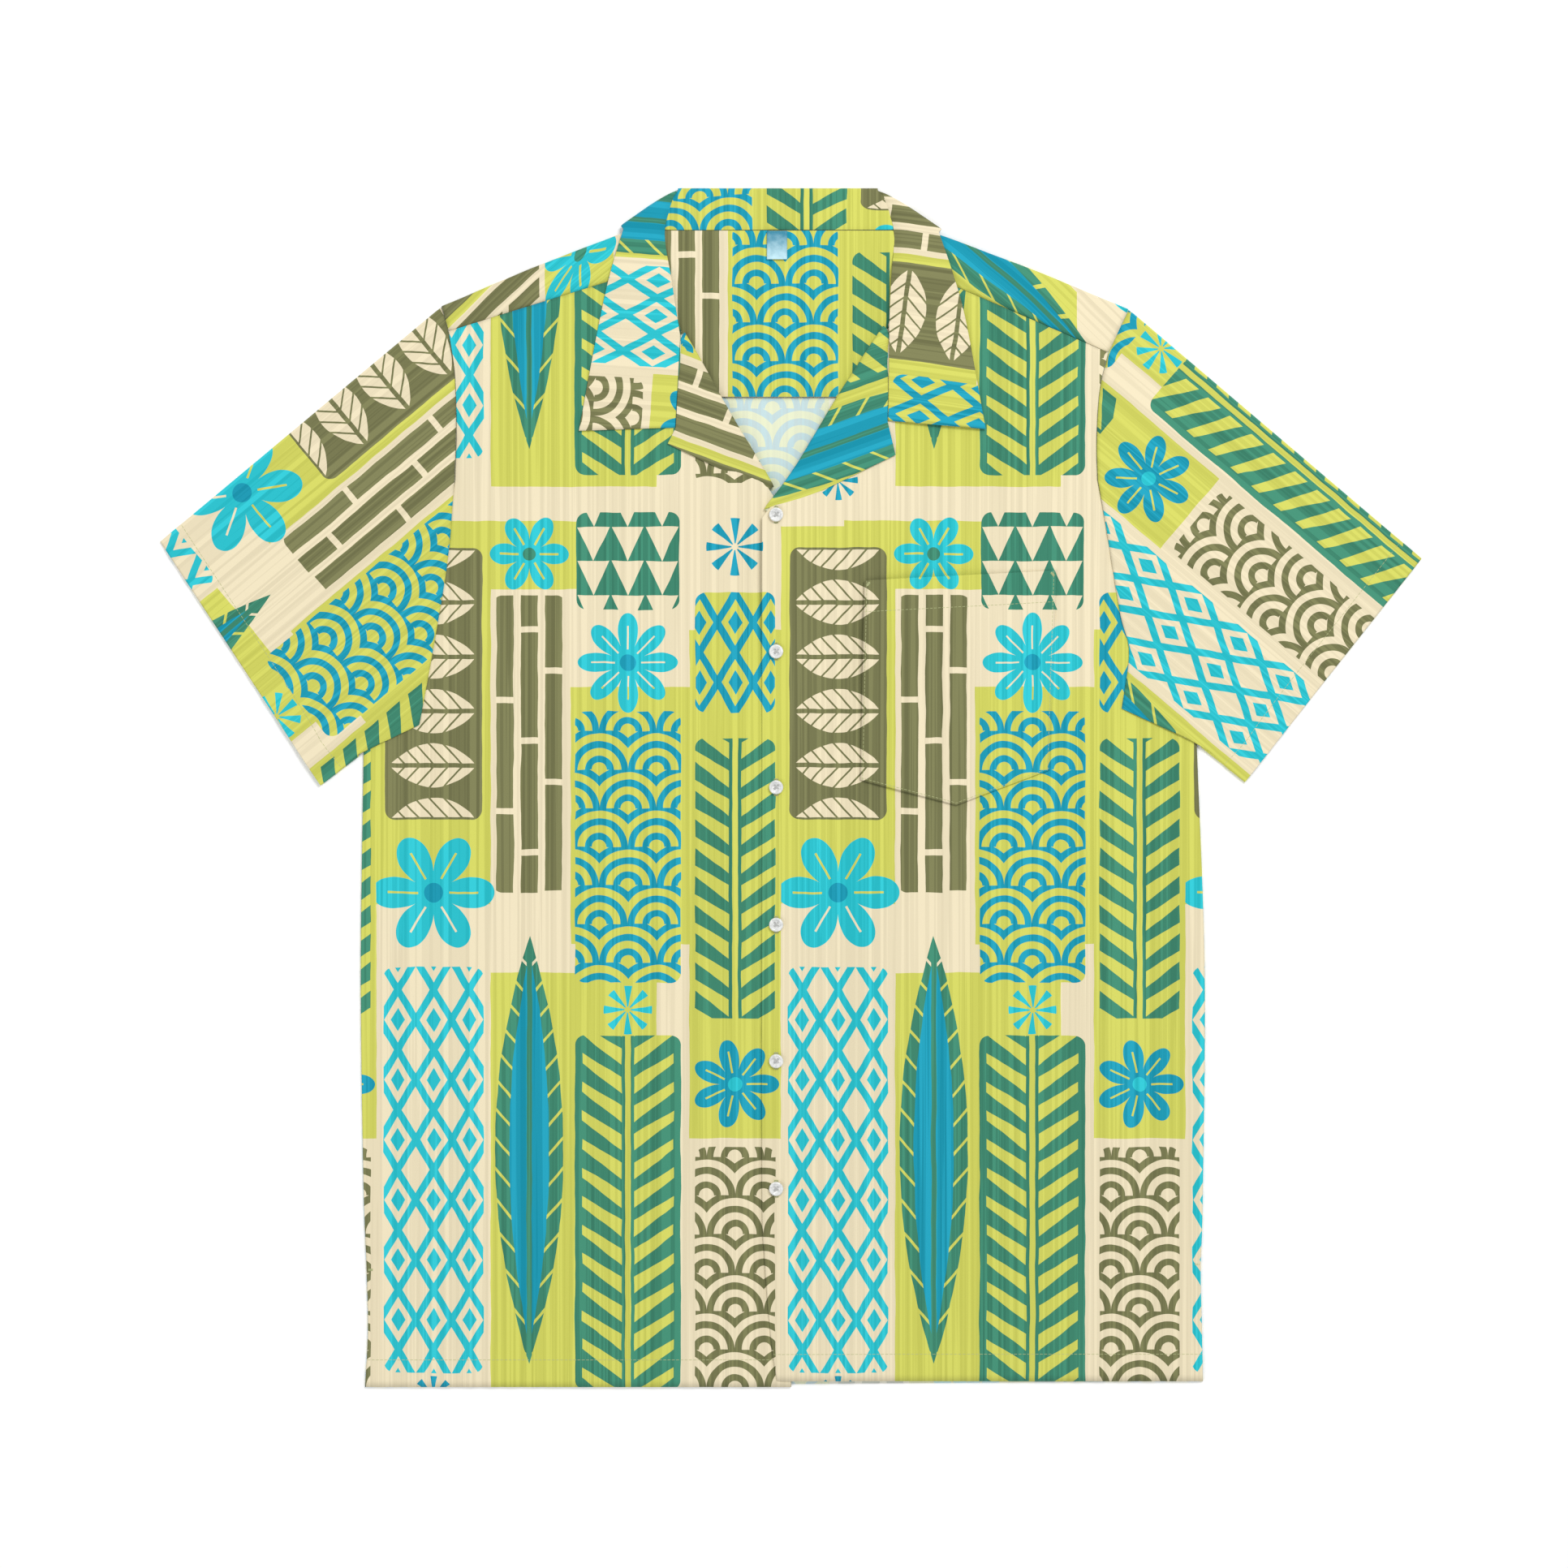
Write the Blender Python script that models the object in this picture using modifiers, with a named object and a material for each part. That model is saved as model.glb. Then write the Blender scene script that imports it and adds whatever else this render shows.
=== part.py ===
"""A short-sleeved camp shirt, buttoned up and laid flat on its back on a table.

Each piece of cloth is one sheet, a grid of points midway through the cloth, thickened to its wall. The
sheets lie on each other from the table up, each a hair's breadth above the ones that carry it. X runs
across the shirt, Y up it towards the collar and Z up from the table. Left and right are the wearer's.
"""

import math

import bmesh
import bpy
import numpy as np

MM = 0.001

# Cloth, in millimetres
CLOTH = 1.0
GAP = 0.3
SEAM = 0.4

# Body, in millimetres from the middle of the shirt
HEM_Y = -420.0
VENT_Y = -336.0
YOKE_Y = 272.6

# Points along the edges of the body, and sheets' points from edge to edge
SIDE_POINTS = 15
PLACKET_POINTS = 15
ARMHOLE_BACK_POINTS = 11
BODY_COLUMNS = 13
SHOULDER_POINTS = 8
NECK_POINTS = 10
YOKE_ROWS = 6
ROLL_POINTS_RIGHT = 9
ROLL_POINTS_LEFT = 11
LAPEL_COLUMNS = 6
LEAF_COLUMNS = 5
FALL_POINTS = 11
STAND_POINTS = 13
SLEEVE_HEM_POINTS = 14
SLEEVE_ROWS = 11
POCKET_POINTS = 9
FOLD_ROWS = 3

# How far beyond the edge of what is below a sheet is still held up by it
BODY_REACH = 36.0
YOKE_REACH = 34.0
FACING_REACH = 20.0
COLLAR_REACH = 26.0
POCKET_REACH = 25.0
LABEL_REACH = 8.0

# Fastening
BUTTON_WIDTH = 10.0
BUTTON_HEIGHT = 2.2
BUTTON_X = -10.3
BUTTON_YS = (190.0, 94.6, -0.3, -96.4, -191.7, -281.0)
BUTTON_HOLE = 1.5
BUTTON_HOLE_SPREAD = 1.45
BUTTON_PROFILE = (
    # share of the radius, height
    (0.0, 1.3), (0.52, 1.35), (0.66, 1.9), (0.8, BUTTON_HEIGHT), (0.92, 1.95), (1.0, 1.2),
    (0.92, 0.45), (0.64, 0.0), (0.0, 0.0),
)
BUTTON_SIDES = 16
HOLE_SIDES = 6
WELD = 0.02

# How finely the resting heights are worked out
CELL = 4.0
FIELD_HALF_WIDTH = 480.0
SETTLE = 10.0

# Low swells where the cloth does not lie quite flat: centre, half-length across and along, rise
SWELLS = (
    # x, y, across, along, rise
    (-215.0, -60.0, 60.0, 190.0, 1.1),
    (205.0, -120.0, 55.0, 210.0, 1.0),
    (-120.0, -250.0, 70.0, 150.0, 0.8),
    (110.0, -300.0, 60.0, 110.0, 0.7),
    (-150.0, 150.0, 55.0, 90.0, 0.9),
    (150.0, 60.0, 50.0, 120.0, 0.8),
)

# Outlines in the plane of the table. Each is a short table of (x, y) in millimetres.
# An edge that two pieces share at a seam is written once.
SIDE_RIGHT = [
    (-298.0, HEM_Y), (-296.0, -380.0), (-297.0, VENT_Y), (-299.2, -273.0), (-301.0, -131.0), (-299.0, 25.0)
]
SIDE_LEFT = [
    (288.4, -416.0), (287.6, -375.0), (286.8, VENT_Y), (288.2, -290.0), (289.6, -130.0), (284.0, 32.0)
]
UNDERARM_RIGHT = [(-299.0, 25.0), (-284.0, 70.0), (-262.0, 120.0), (-244.0, 170.0), (-235.0, 215.0)]
UNDERARM_LEFT = [(284.0, 32.0), (268.0, 72.0), (244.0, 120.0), (225.0, 170.0), (214.4, 215.0)]
ARMHOLE_RIGHT = [(-235.0, 215.0), (-234.0, 250.0), (-235.0, 288.0), (-239.4, 319.0)]
ARMHOLE_LEFT = [(214.4, 215.0), (213.8, 243.0), (216.0, 278.0), (222.0, 303.8)]
ARMHOLE_BACK_RIGHT = [
    (-299.0, 25.0), (-281.0, 72.0), (-257.0, 126.0), (-243.0, 182.0), (-240.0, 230.0), (-242.0, YOKE_Y)
]
ARMHOLE_BACK_LEFT = [
    (284.0, 32.0), (266.0, 76.0), (243.0, 126.0), (231.0, 182.0), (229.0, 230.0), (232.0, YOKE_Y)
]
SHOULDER_RIGHT = [(-244.1, 335.6), (-180.0, 361.6), (-104.0, 391.0)]
SHOULDER_LEFT = [(236.0, 333.6), (170.0, 359.6), (94.0, 388.4)]
YOKE_SEAM_RIGHT = [(-239.4, 319.0), (-100.0, 361.5)]
YOKE_SEAM_LEFT = [(222.0, 303.8), (86.0, 362.0)]

# Sleeves: corners of the hem, where the front layer laps over the body, and where the underarm folds end
SLEEVE_HEM_RIGHT = [(-441.2, 171.2), (-330.0, 2.2)]
SLEEVE_HEM_LEFT = [(441.2, 159.4), (318.6, 4.4)]
SLEEVE_LAP_RIGHT = [(-235.0, 215.0), (-239.6, 158.9), (-249.8, 96.3), (-259.5, 43.4)]
SLEEVE_LAP_LEFT = [(214.4, 215.0), (220.8, 177.6), (229.9, 121.4), (236.2, 94.6), (231.1, 54.8)]
LAP_FOOT_Y = 20.0
SLEEVE_UNDERARM_RIGHT = (-303.0, 22.6)
SLEEVE_UNDERARM_LEFT = (287.6, 29.0)

# Neck, lapels and collar
NECK_RIGHT = [(-76.6, 318.0), (-84.0, 340.0), (-100.0, 361.5)]
NECK_LEFT = [(67.8, 322.0), (75.0, 342.0), (86.0, 362.0)]
ROLL_RIGHT = [(-13.5, 209.0), (-42.0, 258.0), (-74.9, 317.0)]
ROLL_LEFT = [(-18.2, 193.8), (-0.4, 216.4), (30.0, 264.0), (66.0, 321.0)]
PLACKET_RIGHT = [(0.3, HEM_Y), (0.3, -200.0), (0.3, 25.0)]
PLACKET_RIGHT_TOP = [(0.3, 25.0), (0.3, 184.0)]
PLACKET_LEFT = [(-9.9, -415.8), (-14.0, -385.0), (-18.4, -330.0), (-20.2, -270.0), (-20.2, 30.0)]
PLACKET_LEFT_TOP = [(-20.2, 30.0), (-20.2, 188.0)]
LAPEL_EDGE_RIGHT = [(-17.0, 206.6), (-86.1, 239.6)]
LAPEL_EDGE_LEFT = [(-13.8, 195.4), (-7.0, 197.0), (16.2, 204.4), (73.0, 231.6)]
LAPEL_NOTCH_RIGHT = [(-86.1, 239.6), (-80.4, 250.9)]
LAPEL_NOTCH_LEFT = [(73.0, 231.6), (67.4, 255.5)]
GORGE_RIGHT = [(-80.4, 250.9), (-77.0, 313.0)]
GORGE_LEFT = [(67.4, 255.5), (68.4, 317.0)]
LAPEL_SLACK = 2.0
LAPEL_TURN_UNDER = 24.0
LEAF_ROLL_RIGHT = [(-77.0, 313.0), (-83.0, 352.0), (-88.2, 389.0), (-79.8, 416.4)]
LEAF_ROLL_LEFT = [(68.4, 317.0), (70.0, 354.0), (71.9, 390.2), (61.6, 416.4)]
LEAF_EDGE_RIGHT = [(-148.1, 248.7), (-135.0, 319.2), (-126.5, 357.8), (-117.0, 389.8)]
LEAF_EDGE_LEFT = [(136.1, 249.8), (122.5, 323.7), (114.0, 356.0), (103.4, 387.4)]
LEAF_WRAP_RIGHT = [(-79.8, 416.4), (-99.0, 404.0), (-117.0, 389.8)]
LEAF_WRAP_LEFT = [(61.6, 416.4), (86.0, 402.4), (103.4, 387.4)]
FALL_ROLL = [(-79.8, 416.4), (61.6, 416.4)]
FALL_EDGE = [(-117.0, 389.8), (-62.0, 364.0), (-8.0, 357.0), (48.0, 363.0), (103.4, 387.4)]
STAND_SEAM = [(-96.0, 391.4), (-86.0, 389.7), (-8.0, 389.7), (70.0, 389.9), (86.0, 391.4)]
STAND_ROLL = [(-79.0, 417.4), (60.8, 417.4)]
YOKE_NECK = [(-104.0, 391.0), (-88.0, 389.2), (-8.0, 388.6), (72.0, 389.2), (94.0, 388.4)]
YOKE_FACING_SEAM = [(-92.0, 389.2), (76.0, 389.2)]
YOKE_FACING_HEM = [(-150.0, 272.9), (140.0, 272.9)]

# What lies on the front and on the facing
POCKET_BOTTOM = [(48.6, 4.8), (82.0, -4.0), (115.7, -12.8)]
POCKET_BOTTOM_LEFT = [(115.7, -12.8), (148.0, -0.6), (181.0, 11.7)]
POCKET_TOP = [(51.4, 144.1), (185.6, 151.5)]
LABEL_TOP = [(-16.8, 388.8), (-2.6, 388.8)]
LABEL_BOTTOM = [(-16.8, 368.8), (-2.6, 368.8)]


def along(curve, count):
    """Points spaced evenly along a smooth line through the points of a table."""
    knots = np.array(curve, dtype=float)
    padded = np.vstack([2 * knots[0] - knots[1], knots, 2 * knots[-1] - knots[-2]])
    dense = []
    for i in range(1, len(padded) - 2):
        before, start, end, after = padded[i - 1:i + 3]
        t = np.linspace(0.0, 1.0, 24, endpoint=False)[:, None]
        tangent_in = (end - before) / 2
        tangent_out = (after - start) / 2
        dense.append(
            (2 * t**3 - 3 * t**2 + 1) * start + (t**3 - 2 * t**2 + t) * tangent_in
            + (3 * t**2 - 2 * t**3) * end + (t**3 - t**2) * tangent_out
        )
    dense = np.vstack(dense + [knots[-1:]])
    lengths = np.concatenate([[0.0], np.cumsum(np.linalg.norm(np.diff(dense, axis=0), axis=1))])
    wanted = np.linspace(0.0, lengths[-1], count)
    return np.column_stack([np.interp(wanted, lengths, dense[:, k]) for k in range(dense.shape[1])])


def joined(*stretches):
    """One row of points from stretches that share their end points."""
    rows = [along(curve, count) for curve, count in stretches]
    return np.vstack([rows[0]] + [row[1:] for row in rows[1:]])


def between(edge_a, edge_b, count):
    """Grid of points ruled straight from one edge to the other."""
    share = np.linspace(0.0, 1.0, count)[None, :, None]
    return edge_a[:, None, :] * (1 - share) + edge_b[:, None, :] * share


def moved_in(curve, distance):
    """The curve moved sideways to its left-hand side."""
    points = np.array(curve, dtype=float)
    direction = np.gradient(points, axis=0)
    direction /= np.linalg.norm(direction, axis=1)[:, None]
    return points + distance * np.column_stack([-direction[:, 1], direction[:, 0]])


def swell(x, y):
    """Height of the low swells at a place."""
    height = np.zeros_like(x)
    for centre_x, centre_y, across, length, rise in SWELLS:
        squared = ((x - centre_x) / across) ** 2 + ((y - centre_y) / length) ** 2
        height += rise * np.exp(-squared)
    return height


def spread(field, cells):
    """Each cell takes the highest value within a number of cells along both axes."""
    for axis in (0, 1):
        best = field.copy()
        for shift in range(1, cells + 1):
            best = np.maximum(best, np.roll(field, shift, axis))
            best = np.maximum(best, np.roll(field, -shift, axis))
        field = best
    return field


def softened(field, cells):
    """Each cell takes the mean of those within a number of cells along both axes."""
    for axis in (0, 1):
        total = field.copy()
        for shift in range(1, cells + 1):
            total = total + np.roll(field, shift, axis) + np.roll(field, -shift, axis)
        field = total / (2 * cells + 1)
    return field


def top_of(sheet, keep=None):
    """Places and heights of a sheet's upper face, closely spaced; keep picks some of the places."""
    fine = sheet
    for axis in (0, 1):
        steps = int(np.ceil(np.linalg.norm(np.diff(fine, axis=axis), axis=2).max() / (0.7 * CELL)))
        stations = np.linspace(0, fine.shape[axis] - 1, steps * (fine.shape[axis] - 1) + 1)
        lower = np.minimum(stations.astype(int), fine.shape[axis] - 2)
        share = stations - lower
        share = share[:, None, None] if axis == 0 else share[None, :, None]
        fine = np.take(fine, lower, axis) * (1 - share) + np.take(fine, lower + 1, axis) * share
    places = fine.reshape(-1, 3) + (0.0, 0.0, CLOTH / 2)
    if keep is not None:
        places = places[keep(places[:, 0], places[:, 1])]
    return places


def rest(grid, below, reach):
    """Lay a flat grid on the tops of the sheets below, with no dip nearer to them than the reach."""
    cells = int(2 * FIELD_HALF_WIDTH / CELL) + 1
    field = np.zeros((cells, cells))
    for places in below:
        column = np.round((places[:, 0] + FIELD_HALF_WIDTH) / CELL).astype(int)
        row = np.round((places[:, 1] + FIELD_HALF_WIDTH) / CELL).astype(int)
        np.maximum.at(field, (row, column), places[:, 2] + GAP)
    settle_cells = int(SETTLE / CELL)
    field = spread(field, int(reach / CELL) + 2 * settle_cells)
    field = softened(softened(field, settle_cells), settle_cells)
    x = (grid[..., 0] + FIELD_HALF_WIDTH) / CELL
    y = (grid[..., 1] + FIELD_HALF_WIDTH) / CELL
    column = x.astype(int)
    row = y.astype(int)
    share_x = x - column
    share_y = y - row
    low = field[row, column] * (1 - share_x) + field[row, column + 1] * share_x
    high = field[row + 1, column] * (1 - share_x) + field[row + 1, column + 1] * share_x
    height = low * (1 - share_y) + high * share_y + CLOTH / 2
    return np.dstack([grid[..., :2], height])


def fold(lower_edge, upper_edge, outward, count):
    """Rows of a round fold from a lower edge up to the upper edge that lies over it."""
    middle = (lower_edge + upper_edge) / 2
    half = (upper_edge - lower_edge) / 2
    radius = np.linalg.norm(half, axis=1)[:, None]
    rows = []
    for angle in np.linspace(0.0, math.pi, count + 2)[1:-1]:
        rows.append(middle - half * math.cos(angle) + outward * radius * math.sin(angle))
    return np.array(rows)


def outward_of(edge, side):
    """Unit vectors in the plane of the table, square to an edge, on its left (1) or right (-1)."""
    direction = np.gradient(edge[:, :2], axis=0)
    direction /= np.linalg.norm(direction, axis=1)[:, None]
    return side * np.column_stack([-direction[:, 1], direction[:, 0], np.zeros(len(edge))])


def material(name, color, roughness, metallic=0.0):
    """A plain finish: colour, roughness and metallic value."""
    made = bpy.data.materials.get(name)
    if made is None:
        made = bpy.data.materials.new(name)
        made.use_nodes = True
        shader = made.node_tree.nodes["Principled BSDF"]
        shader.inputs["Base Color"].default_value = (*color, 1.0)
        shader.inputs["Roughness"].default_value = roughness
        shader.inputs["Metallic"].default_value = metallic
    return made


def add_sheet(name, grids, finish, ring=False):
    """Make grids of points midway through the cloth into one solid sheet; a ring closes on itself."""
    points = []
    faces = []
    for grid in grids:
        rows, columns = grid.shape[:2]
        first = len(points)
        points.extend((grid.reshape(-1, 3) * MM).tolist())
        for i in range(rows - 1):
            for j in range(columns if ring else columns - 1):
                corners = ((i, j), (i, (j + 1) % columns), (i + 1, (j + 1) % columns), (i + 1, j))
                faces.append([first + row * columns + column for row, column in corners])
    mesh = bpy.data.meshes.new(name)
    mesh.from_pydata(points, [], faces)
    welded = bmesh.new()
    welded.from_mesh(mesh)
    bmesh.ops.remove_doubles(welded, verts=welded.verts, dist=WELD * MM)
    welded.to_mesh(mesh)
    welded.free()
    mesh.materials.append(finish)
    sheet = bpy.data.objects.new(name, mesh)
    shirt.objects.link(sheet)
    thicken = sheet.modifiers.new("wall", "SOLIDIFY")
    thicken.thickness = CLOTH * MM
    thicken.offset = 0.0
    thicken.use_even_offset = True
    return sheet


def flat(grid):
    """The grid as a sheet that lies on the table."""
    return np.dstack([grid, np.full(grid.shape[:2], CLOTH / 2)])


def across(low_edge, high_edge, rows):
    """Grid from a low edge to a high one, whose rows run across the shirt."""
    return between(low_edge, high_edge, rows).transpose(1, 0, 2)


# Body


def back_panel():
    """The back, from the hem to the yoke, flat on the table."""
    right = joined((SIDE_RIGHT, SIDE_POINTS), (ARMHOLE_BACK_RIGHT, ARMHOLE_BACK_POINTS))
    left = joined((SIDE_LEFT, SIDE_POINTS), (ARMHOLE_BACK_LEFT, ARMHOLE_BACK_POINTS))
    return flat(between(right, left, BODY_COLUMNS))


def front_edge(placket, placket_top, roll, neck):
    """Edge of a front up its placket, along the roll line and round the neck to the yoke."""
    return joined(
        (placket, PLACKET_POINTS), (placket_top, 5), ([placket_top[-1], roll[0]], 2),
        ([*roll, neck[0]], 5), (neck, 3),
    )


def side_edge(side, underarm, armhole):
    """Edge of a front up its side and round the armhole to the yoke."""
    return joined((side, SIDE_POINTS), (underarm, 7), (armhole, 6))


def front_panel(edge_a, edge_b, below):
    """A front on the sheets that carry it, with its low swells."""
    sheet = rest(between(edge_a, edge_b, BODY_COLUMNS), below, BODY_REACH)
    sheet[..., 2] += swell(sheet[..., 0], sheet[..., 1])
    return sheet


# Yoke


def yoke_behind(below):
    """The yoke's back, from its seam with the back panel up to the shoulders and the neck."""
    top = joined(
        (SHOULDER_RIGHT, SHOULDER_POINTS), (YOKE_NECK, NECK_POINTS), (SHOULDER_LEFT[::-1], SHOULDER_POINTS)
    )
    foot = YOKE_Y + GAP
    bottom = along([(ARMHOLE_BACK_RIGHT[-1][0], foot), (ARMHOLE_BACK_LEFT[-1][0], foot)], len(top))
    return rest(across(bottom, top, YOKE_ROWS), below, YOKE_REACH)


def shoulder_strip(shoulder, seam, below):
    """The part of the yoke that shows in front, from the shoulder to its seam."""
    seam_edge = moved_in(along(seam, SHOULDER_POINTS), GAP)
    return rest(across(along(shoulder, SHOULDER_POINTS), seam_edge, 3), below, BODY_REACH)


def over_shoulder(back_edge, strip):
    """The back edge of the yoke, the round fold over the shoulder and the strip in front."""
    turn = fold(back_edge, strip[0], outward_of(back_edge, 1), FOLD_ROWS)
    return np.concatenate([back_edge[None], turn, strip], axis=0)


def inner_yoke(below):
    """The facing of the yoke, which shows in the neck opening."""
    hem = along(YOKE_FACING_HEM, STAND_POINTS)
    seam = along(YOKE_FACING_SEAM, STAND_POINTS)
    return rest(across(hem, seam, YOKE_ROWS), below, YOKE_REACH)


# Collar and lapels


def fall_under_yoke():
    """The fall of the collar behind the neck, flat on the table, between the ends of its two wraps."""
    sheet = flat(between(along(FALL_ROLL, FALL_POINTS), along(FALL_EDGE, FALL_POINTS), LEAF_COLUMNS))
    sheet[0, :, :2] = along(LEAF_WRAP_RIGHT, LEAF_COLUMNS)
    sheet[-1, :, :2] = along(LEAF_WRAP_LEFT, LEAF_COLUMNS)
    return sheet


def stand(below):
    """The stand inside the neck, rolled over at the top down to the table."""
    seam = along(STAND_SEAM, STAND_POINTS)
    roll = along(STAND_ROLL, STAND_POINTS)
    inside = rest(across(seam, roll, 3), below, FACING_REACH)
    foot = inside[-1] * (1.0, 1.0, 0.0) + (0.0, 0.0, CLOTH / 2)
    up = np.tile((0.0, 1.0, 0.0), (STAND_POINTS, 1))
    turn = fold(inside[-1], foot, up, FOLD_ROWS)
    return np.concatenate([inside, turn, foot[None] + (0.0, GAP, 0.0)], axis=0)


def facing_under(roll, turned_under, below):
    """The part of a facing that lies under its front, beside the roll line."""
    return rest(between(turned_under, roll, 3), below, FACING_REACH)


def facing(under, lapel, side):
    """A facing folded round its front at the roll line, from under the front to the lapel over it."""
    turn = fold(under[:, -1], lapel[:, 0], outward_of(under[:, -1], side), FOLD_ROWS)
    return np.concatenate([under, turn.transpose(1, 0, 2), lapel], axis=1)


def leaf(gorge, roll, edge, wrap_edge, below):
    """One leaf of the collar on its front, from the gorge to where it wraps round the neck."""
    inner = joined((gorge, 5), (roll, 7))
    sheet = rest(between(inner, along(edge, FALL_POINTS), LEAF_COLUMNS), below, COLLAR_REACH)
    sheet[-1, :, :2] = wrap_edge[:, :2]
    return sheet


def collar(leaf_right, behind, leaf_left):
    """Both leaves joined to the fall behind the neck by round folds."""
    wrap_right = fold(behind[0], leaf_right[-1], outward_of(behind[0], -1), FOLD_ROWS + 1)
    wrap_left = fold(behind[-1], leaf_left[-1], outward_of(behind[-1], 1), FOLD_ROWS + 1)
    return np.concatenate([leaf_right, wrap_right[::-1], behind, wrap_left, leaf_left[::-1]], axis=0)


# Sleeves


def sleeve_back(hem, yoke_end, armhole, underarm, side):
    """Back layer of a sleeve, from its hem (first row) to the armhole, top to bottom in each row."""
    inner = joined((yoke_end, 4), (armhole[::-1], ARMHOLE_BACK_POINTS))
    inner[:, 0] += side * SEAM
    inner[-1] = underarm
    return flat(across(along(hem, SLEEVE_HEM_POINTS), inner, SLEEVE_ROWS))


def sleeve_front(hem, yoke_end, armhole, lap, underarm, side, below):
    """Front layer of a sleeve, laid on its back layer and on the part of the body that it laps over."""
    lap_edge = [lap[-1], ((lap[-1][0] + underarm[0]) / 2, (lap[-1][1] + underarm[1]) / 2), underarm]
    inner = joined((yoke_end, 2), (armhole[::-1], 6), (lap, 6), (lap_edge, 3))
    inner[:, 0] += side * SEAM
    inner[-1] = underarm
    return rest(across(along(hem, SLEEVE_HEM_POINTS), inner, SLEEVE_ROWS), below, BODY_REACH)


def away_from(edge, other):
    """Unit vectors square to one edge of a sleeve, on the side away from its other edge."""
    away = outward_of(edge, 1)
    return away if np.dot(away[0], edge[0] - other[0]) > 0 else -away


def sleeve_tube(front, back):
    """The two layers joined by round folds along the underarm and the top of the sleeve."""
    low_fold = fold(front[:, -1], back[:, -1], away_from(back[:, -1], back[:, 0]), FOLD_ROWS)
    high_fold = fold(back[:, 0], front[:, 0], away_from(back[:, 0], back[:, -1]), FOLD_ROWS)
    around = [front, low_fold.transpose(1, 0, 2), back[:, ::-1], high_fold.transpose(1, 0, 2)]
    return np.concatenate(around, axis=1)


def lapped(front, lap, side):
    """Upper face of a front where its sleeve laps over it, below the end of the armhole seam."""
    top_y = lap[0][1]
    line = np.array(lap[::-1])

    def under_sleeve(x, y):
        past_line = side * (x - np.interp(y, line[:, 1], line[:, 0])) > 0
        return (y < top_y) & (y > LAP_FOOT_Y) & past_line

    return top_of(front, under_sleeve)


# Fastening


def turned_disc(name, finish):
    """A disc turned from the button's profile."""
    mesh = bpy.data.meshes.new(name)
    points = [(share * BUTTON_WIDTH / 2 * MM, 0.0, z * MM) for share, z in BUTTON_PROFILE]
    mesh.from_pydata(points, [(i, i + 1) for i in range(len(points) - 1)], [])
    mesh.materials.append(finish)
    button = bpy.data.objects.new(name, mesh)
    shirt.objects.link(button)
    turn = button.modifiers.new("turn", "SCREW")
    turn.steps = BUTTON_SIDES
    turn.render_steps = BUTTON_SIDES
    turn.use_merge_vertices = True
    turn.merge_threshold = 0.00001
    return button


def hole_cutter(name, centre):
    """A rod that cuts one hole through a button."""
    bpy.ops.mesh.primitive_cylinder_add(
        vertices=HOLE_SIDES, radius=BUTTON_HOLE / 2 * MM, depth=3 * BUTTON_HEIGHT * MM,
        location=[value * MM for value in centre],
    )
    cutter = bpy.context.object
    cutter.name = name
    cutter.display_type = "WIRE"
    cutter.hide_render = True
    for owner in list(cutter.users_collection):
        owner.objects.unlink(cutter)
    cutters.objects.link(cutter)
    return cutter


def add_button(name, place, finish):
    """A four-hole button with a raised rim, its underside at the place."""
    button = turned_disc(name, finish)
    button.location = [value * MM for value in place]
    for index in range(4):
        angle = math.pi / 4 + index * math.pi / 2
        centre = (
            place[0] + BUTTON_HOLE_SPREAD * math.cos(angle),
            place[1] + BUTTON_HOLE_SPREAD * math.sin(angle),
            place[2] + BUTTON_HEIGHT / 2,
        )
        drill = button.modifiers.new(f"hole {index + 1}", "BOOLEAN")
        drill.operation = "DIFFERENCE"
        drill.object = hole_cutter(f"{name}_hole_{index + 1}", centre)
        drill.solver = "EXACT"
    return button


def button_seat(front, button_y):
    """Height of the highest cloth under a button, and a hair's breadth more."""
    reach = BUTTON_WIDTH / 2 + CELL
    under = top_of(front, lambda x, y: np.hypot(x - BUTTON_X, y - button_y) < reach)
    return under[:, 2].max() + GAP


for leftover in list(bpy.data.objects):
    bpy.data.objects.remove(leftover, do_unlink=True)
shirt = bpy.data.collections.new("hawaiian_shirt")
cutters = bpy.data.collections.new("cutters")
bpy.context.scene.collection.children.link(shirt)
bpy.context.scene.collection.children.link(cutters)

printed = material("printed_cloth", (0.62, 0.69, 0.15), 0.85)
wrong_side = material("cloth_wrong_side", (0.78, 0.85, 0.62), 0.88)
label_satin = material("label_satin", (0.45, 0.66, 0.83), 0.5)
pearl = material("button_pearl", (0.88, 0.88, 0.87), 0.25)

# Flat on the table: the back panel, the backs of the sleeves and the fall of the collar
back = back_panel()
sleeve_back_right = sleeve_back(
    SLEEVE_HEM_RIGHT, [SHOULDER_RIGHT[0], ARMHOLE_BACK_RIGHT[-1]], ARMHOLE_BACK_RIGHT,
    SLEEVE_UNDERARM_RIGHT, -1,
)
sleeve_back_left = sleeve_back(
    SLEEVE_HEM_LEFT, [SHOULDER_LEFT[0], ARMHOLE_BACK_LEFT[-1]], ARMHOLE_BACK_LEFT, SLEEVE_UNDERARM_LEFT, 1
)
fall_behind = fall_under_yoke()

# On them, inside the neck: the yoke, its facing, the label and the stand of the collar
yoke_back = yoke_behind([top_of(fall_behind)])
yoke_facing = inner_yoke([top_of(yoke_back)])
label = rest(across(along(LABEL_BOTTOM, 3), along(LABEL_TOP, 3), 4), [top_of(yoke_facing)], LABEL_REACH)
collar_stand = stand([top_of(fall_behind), top_of(yoke_back)])

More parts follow.
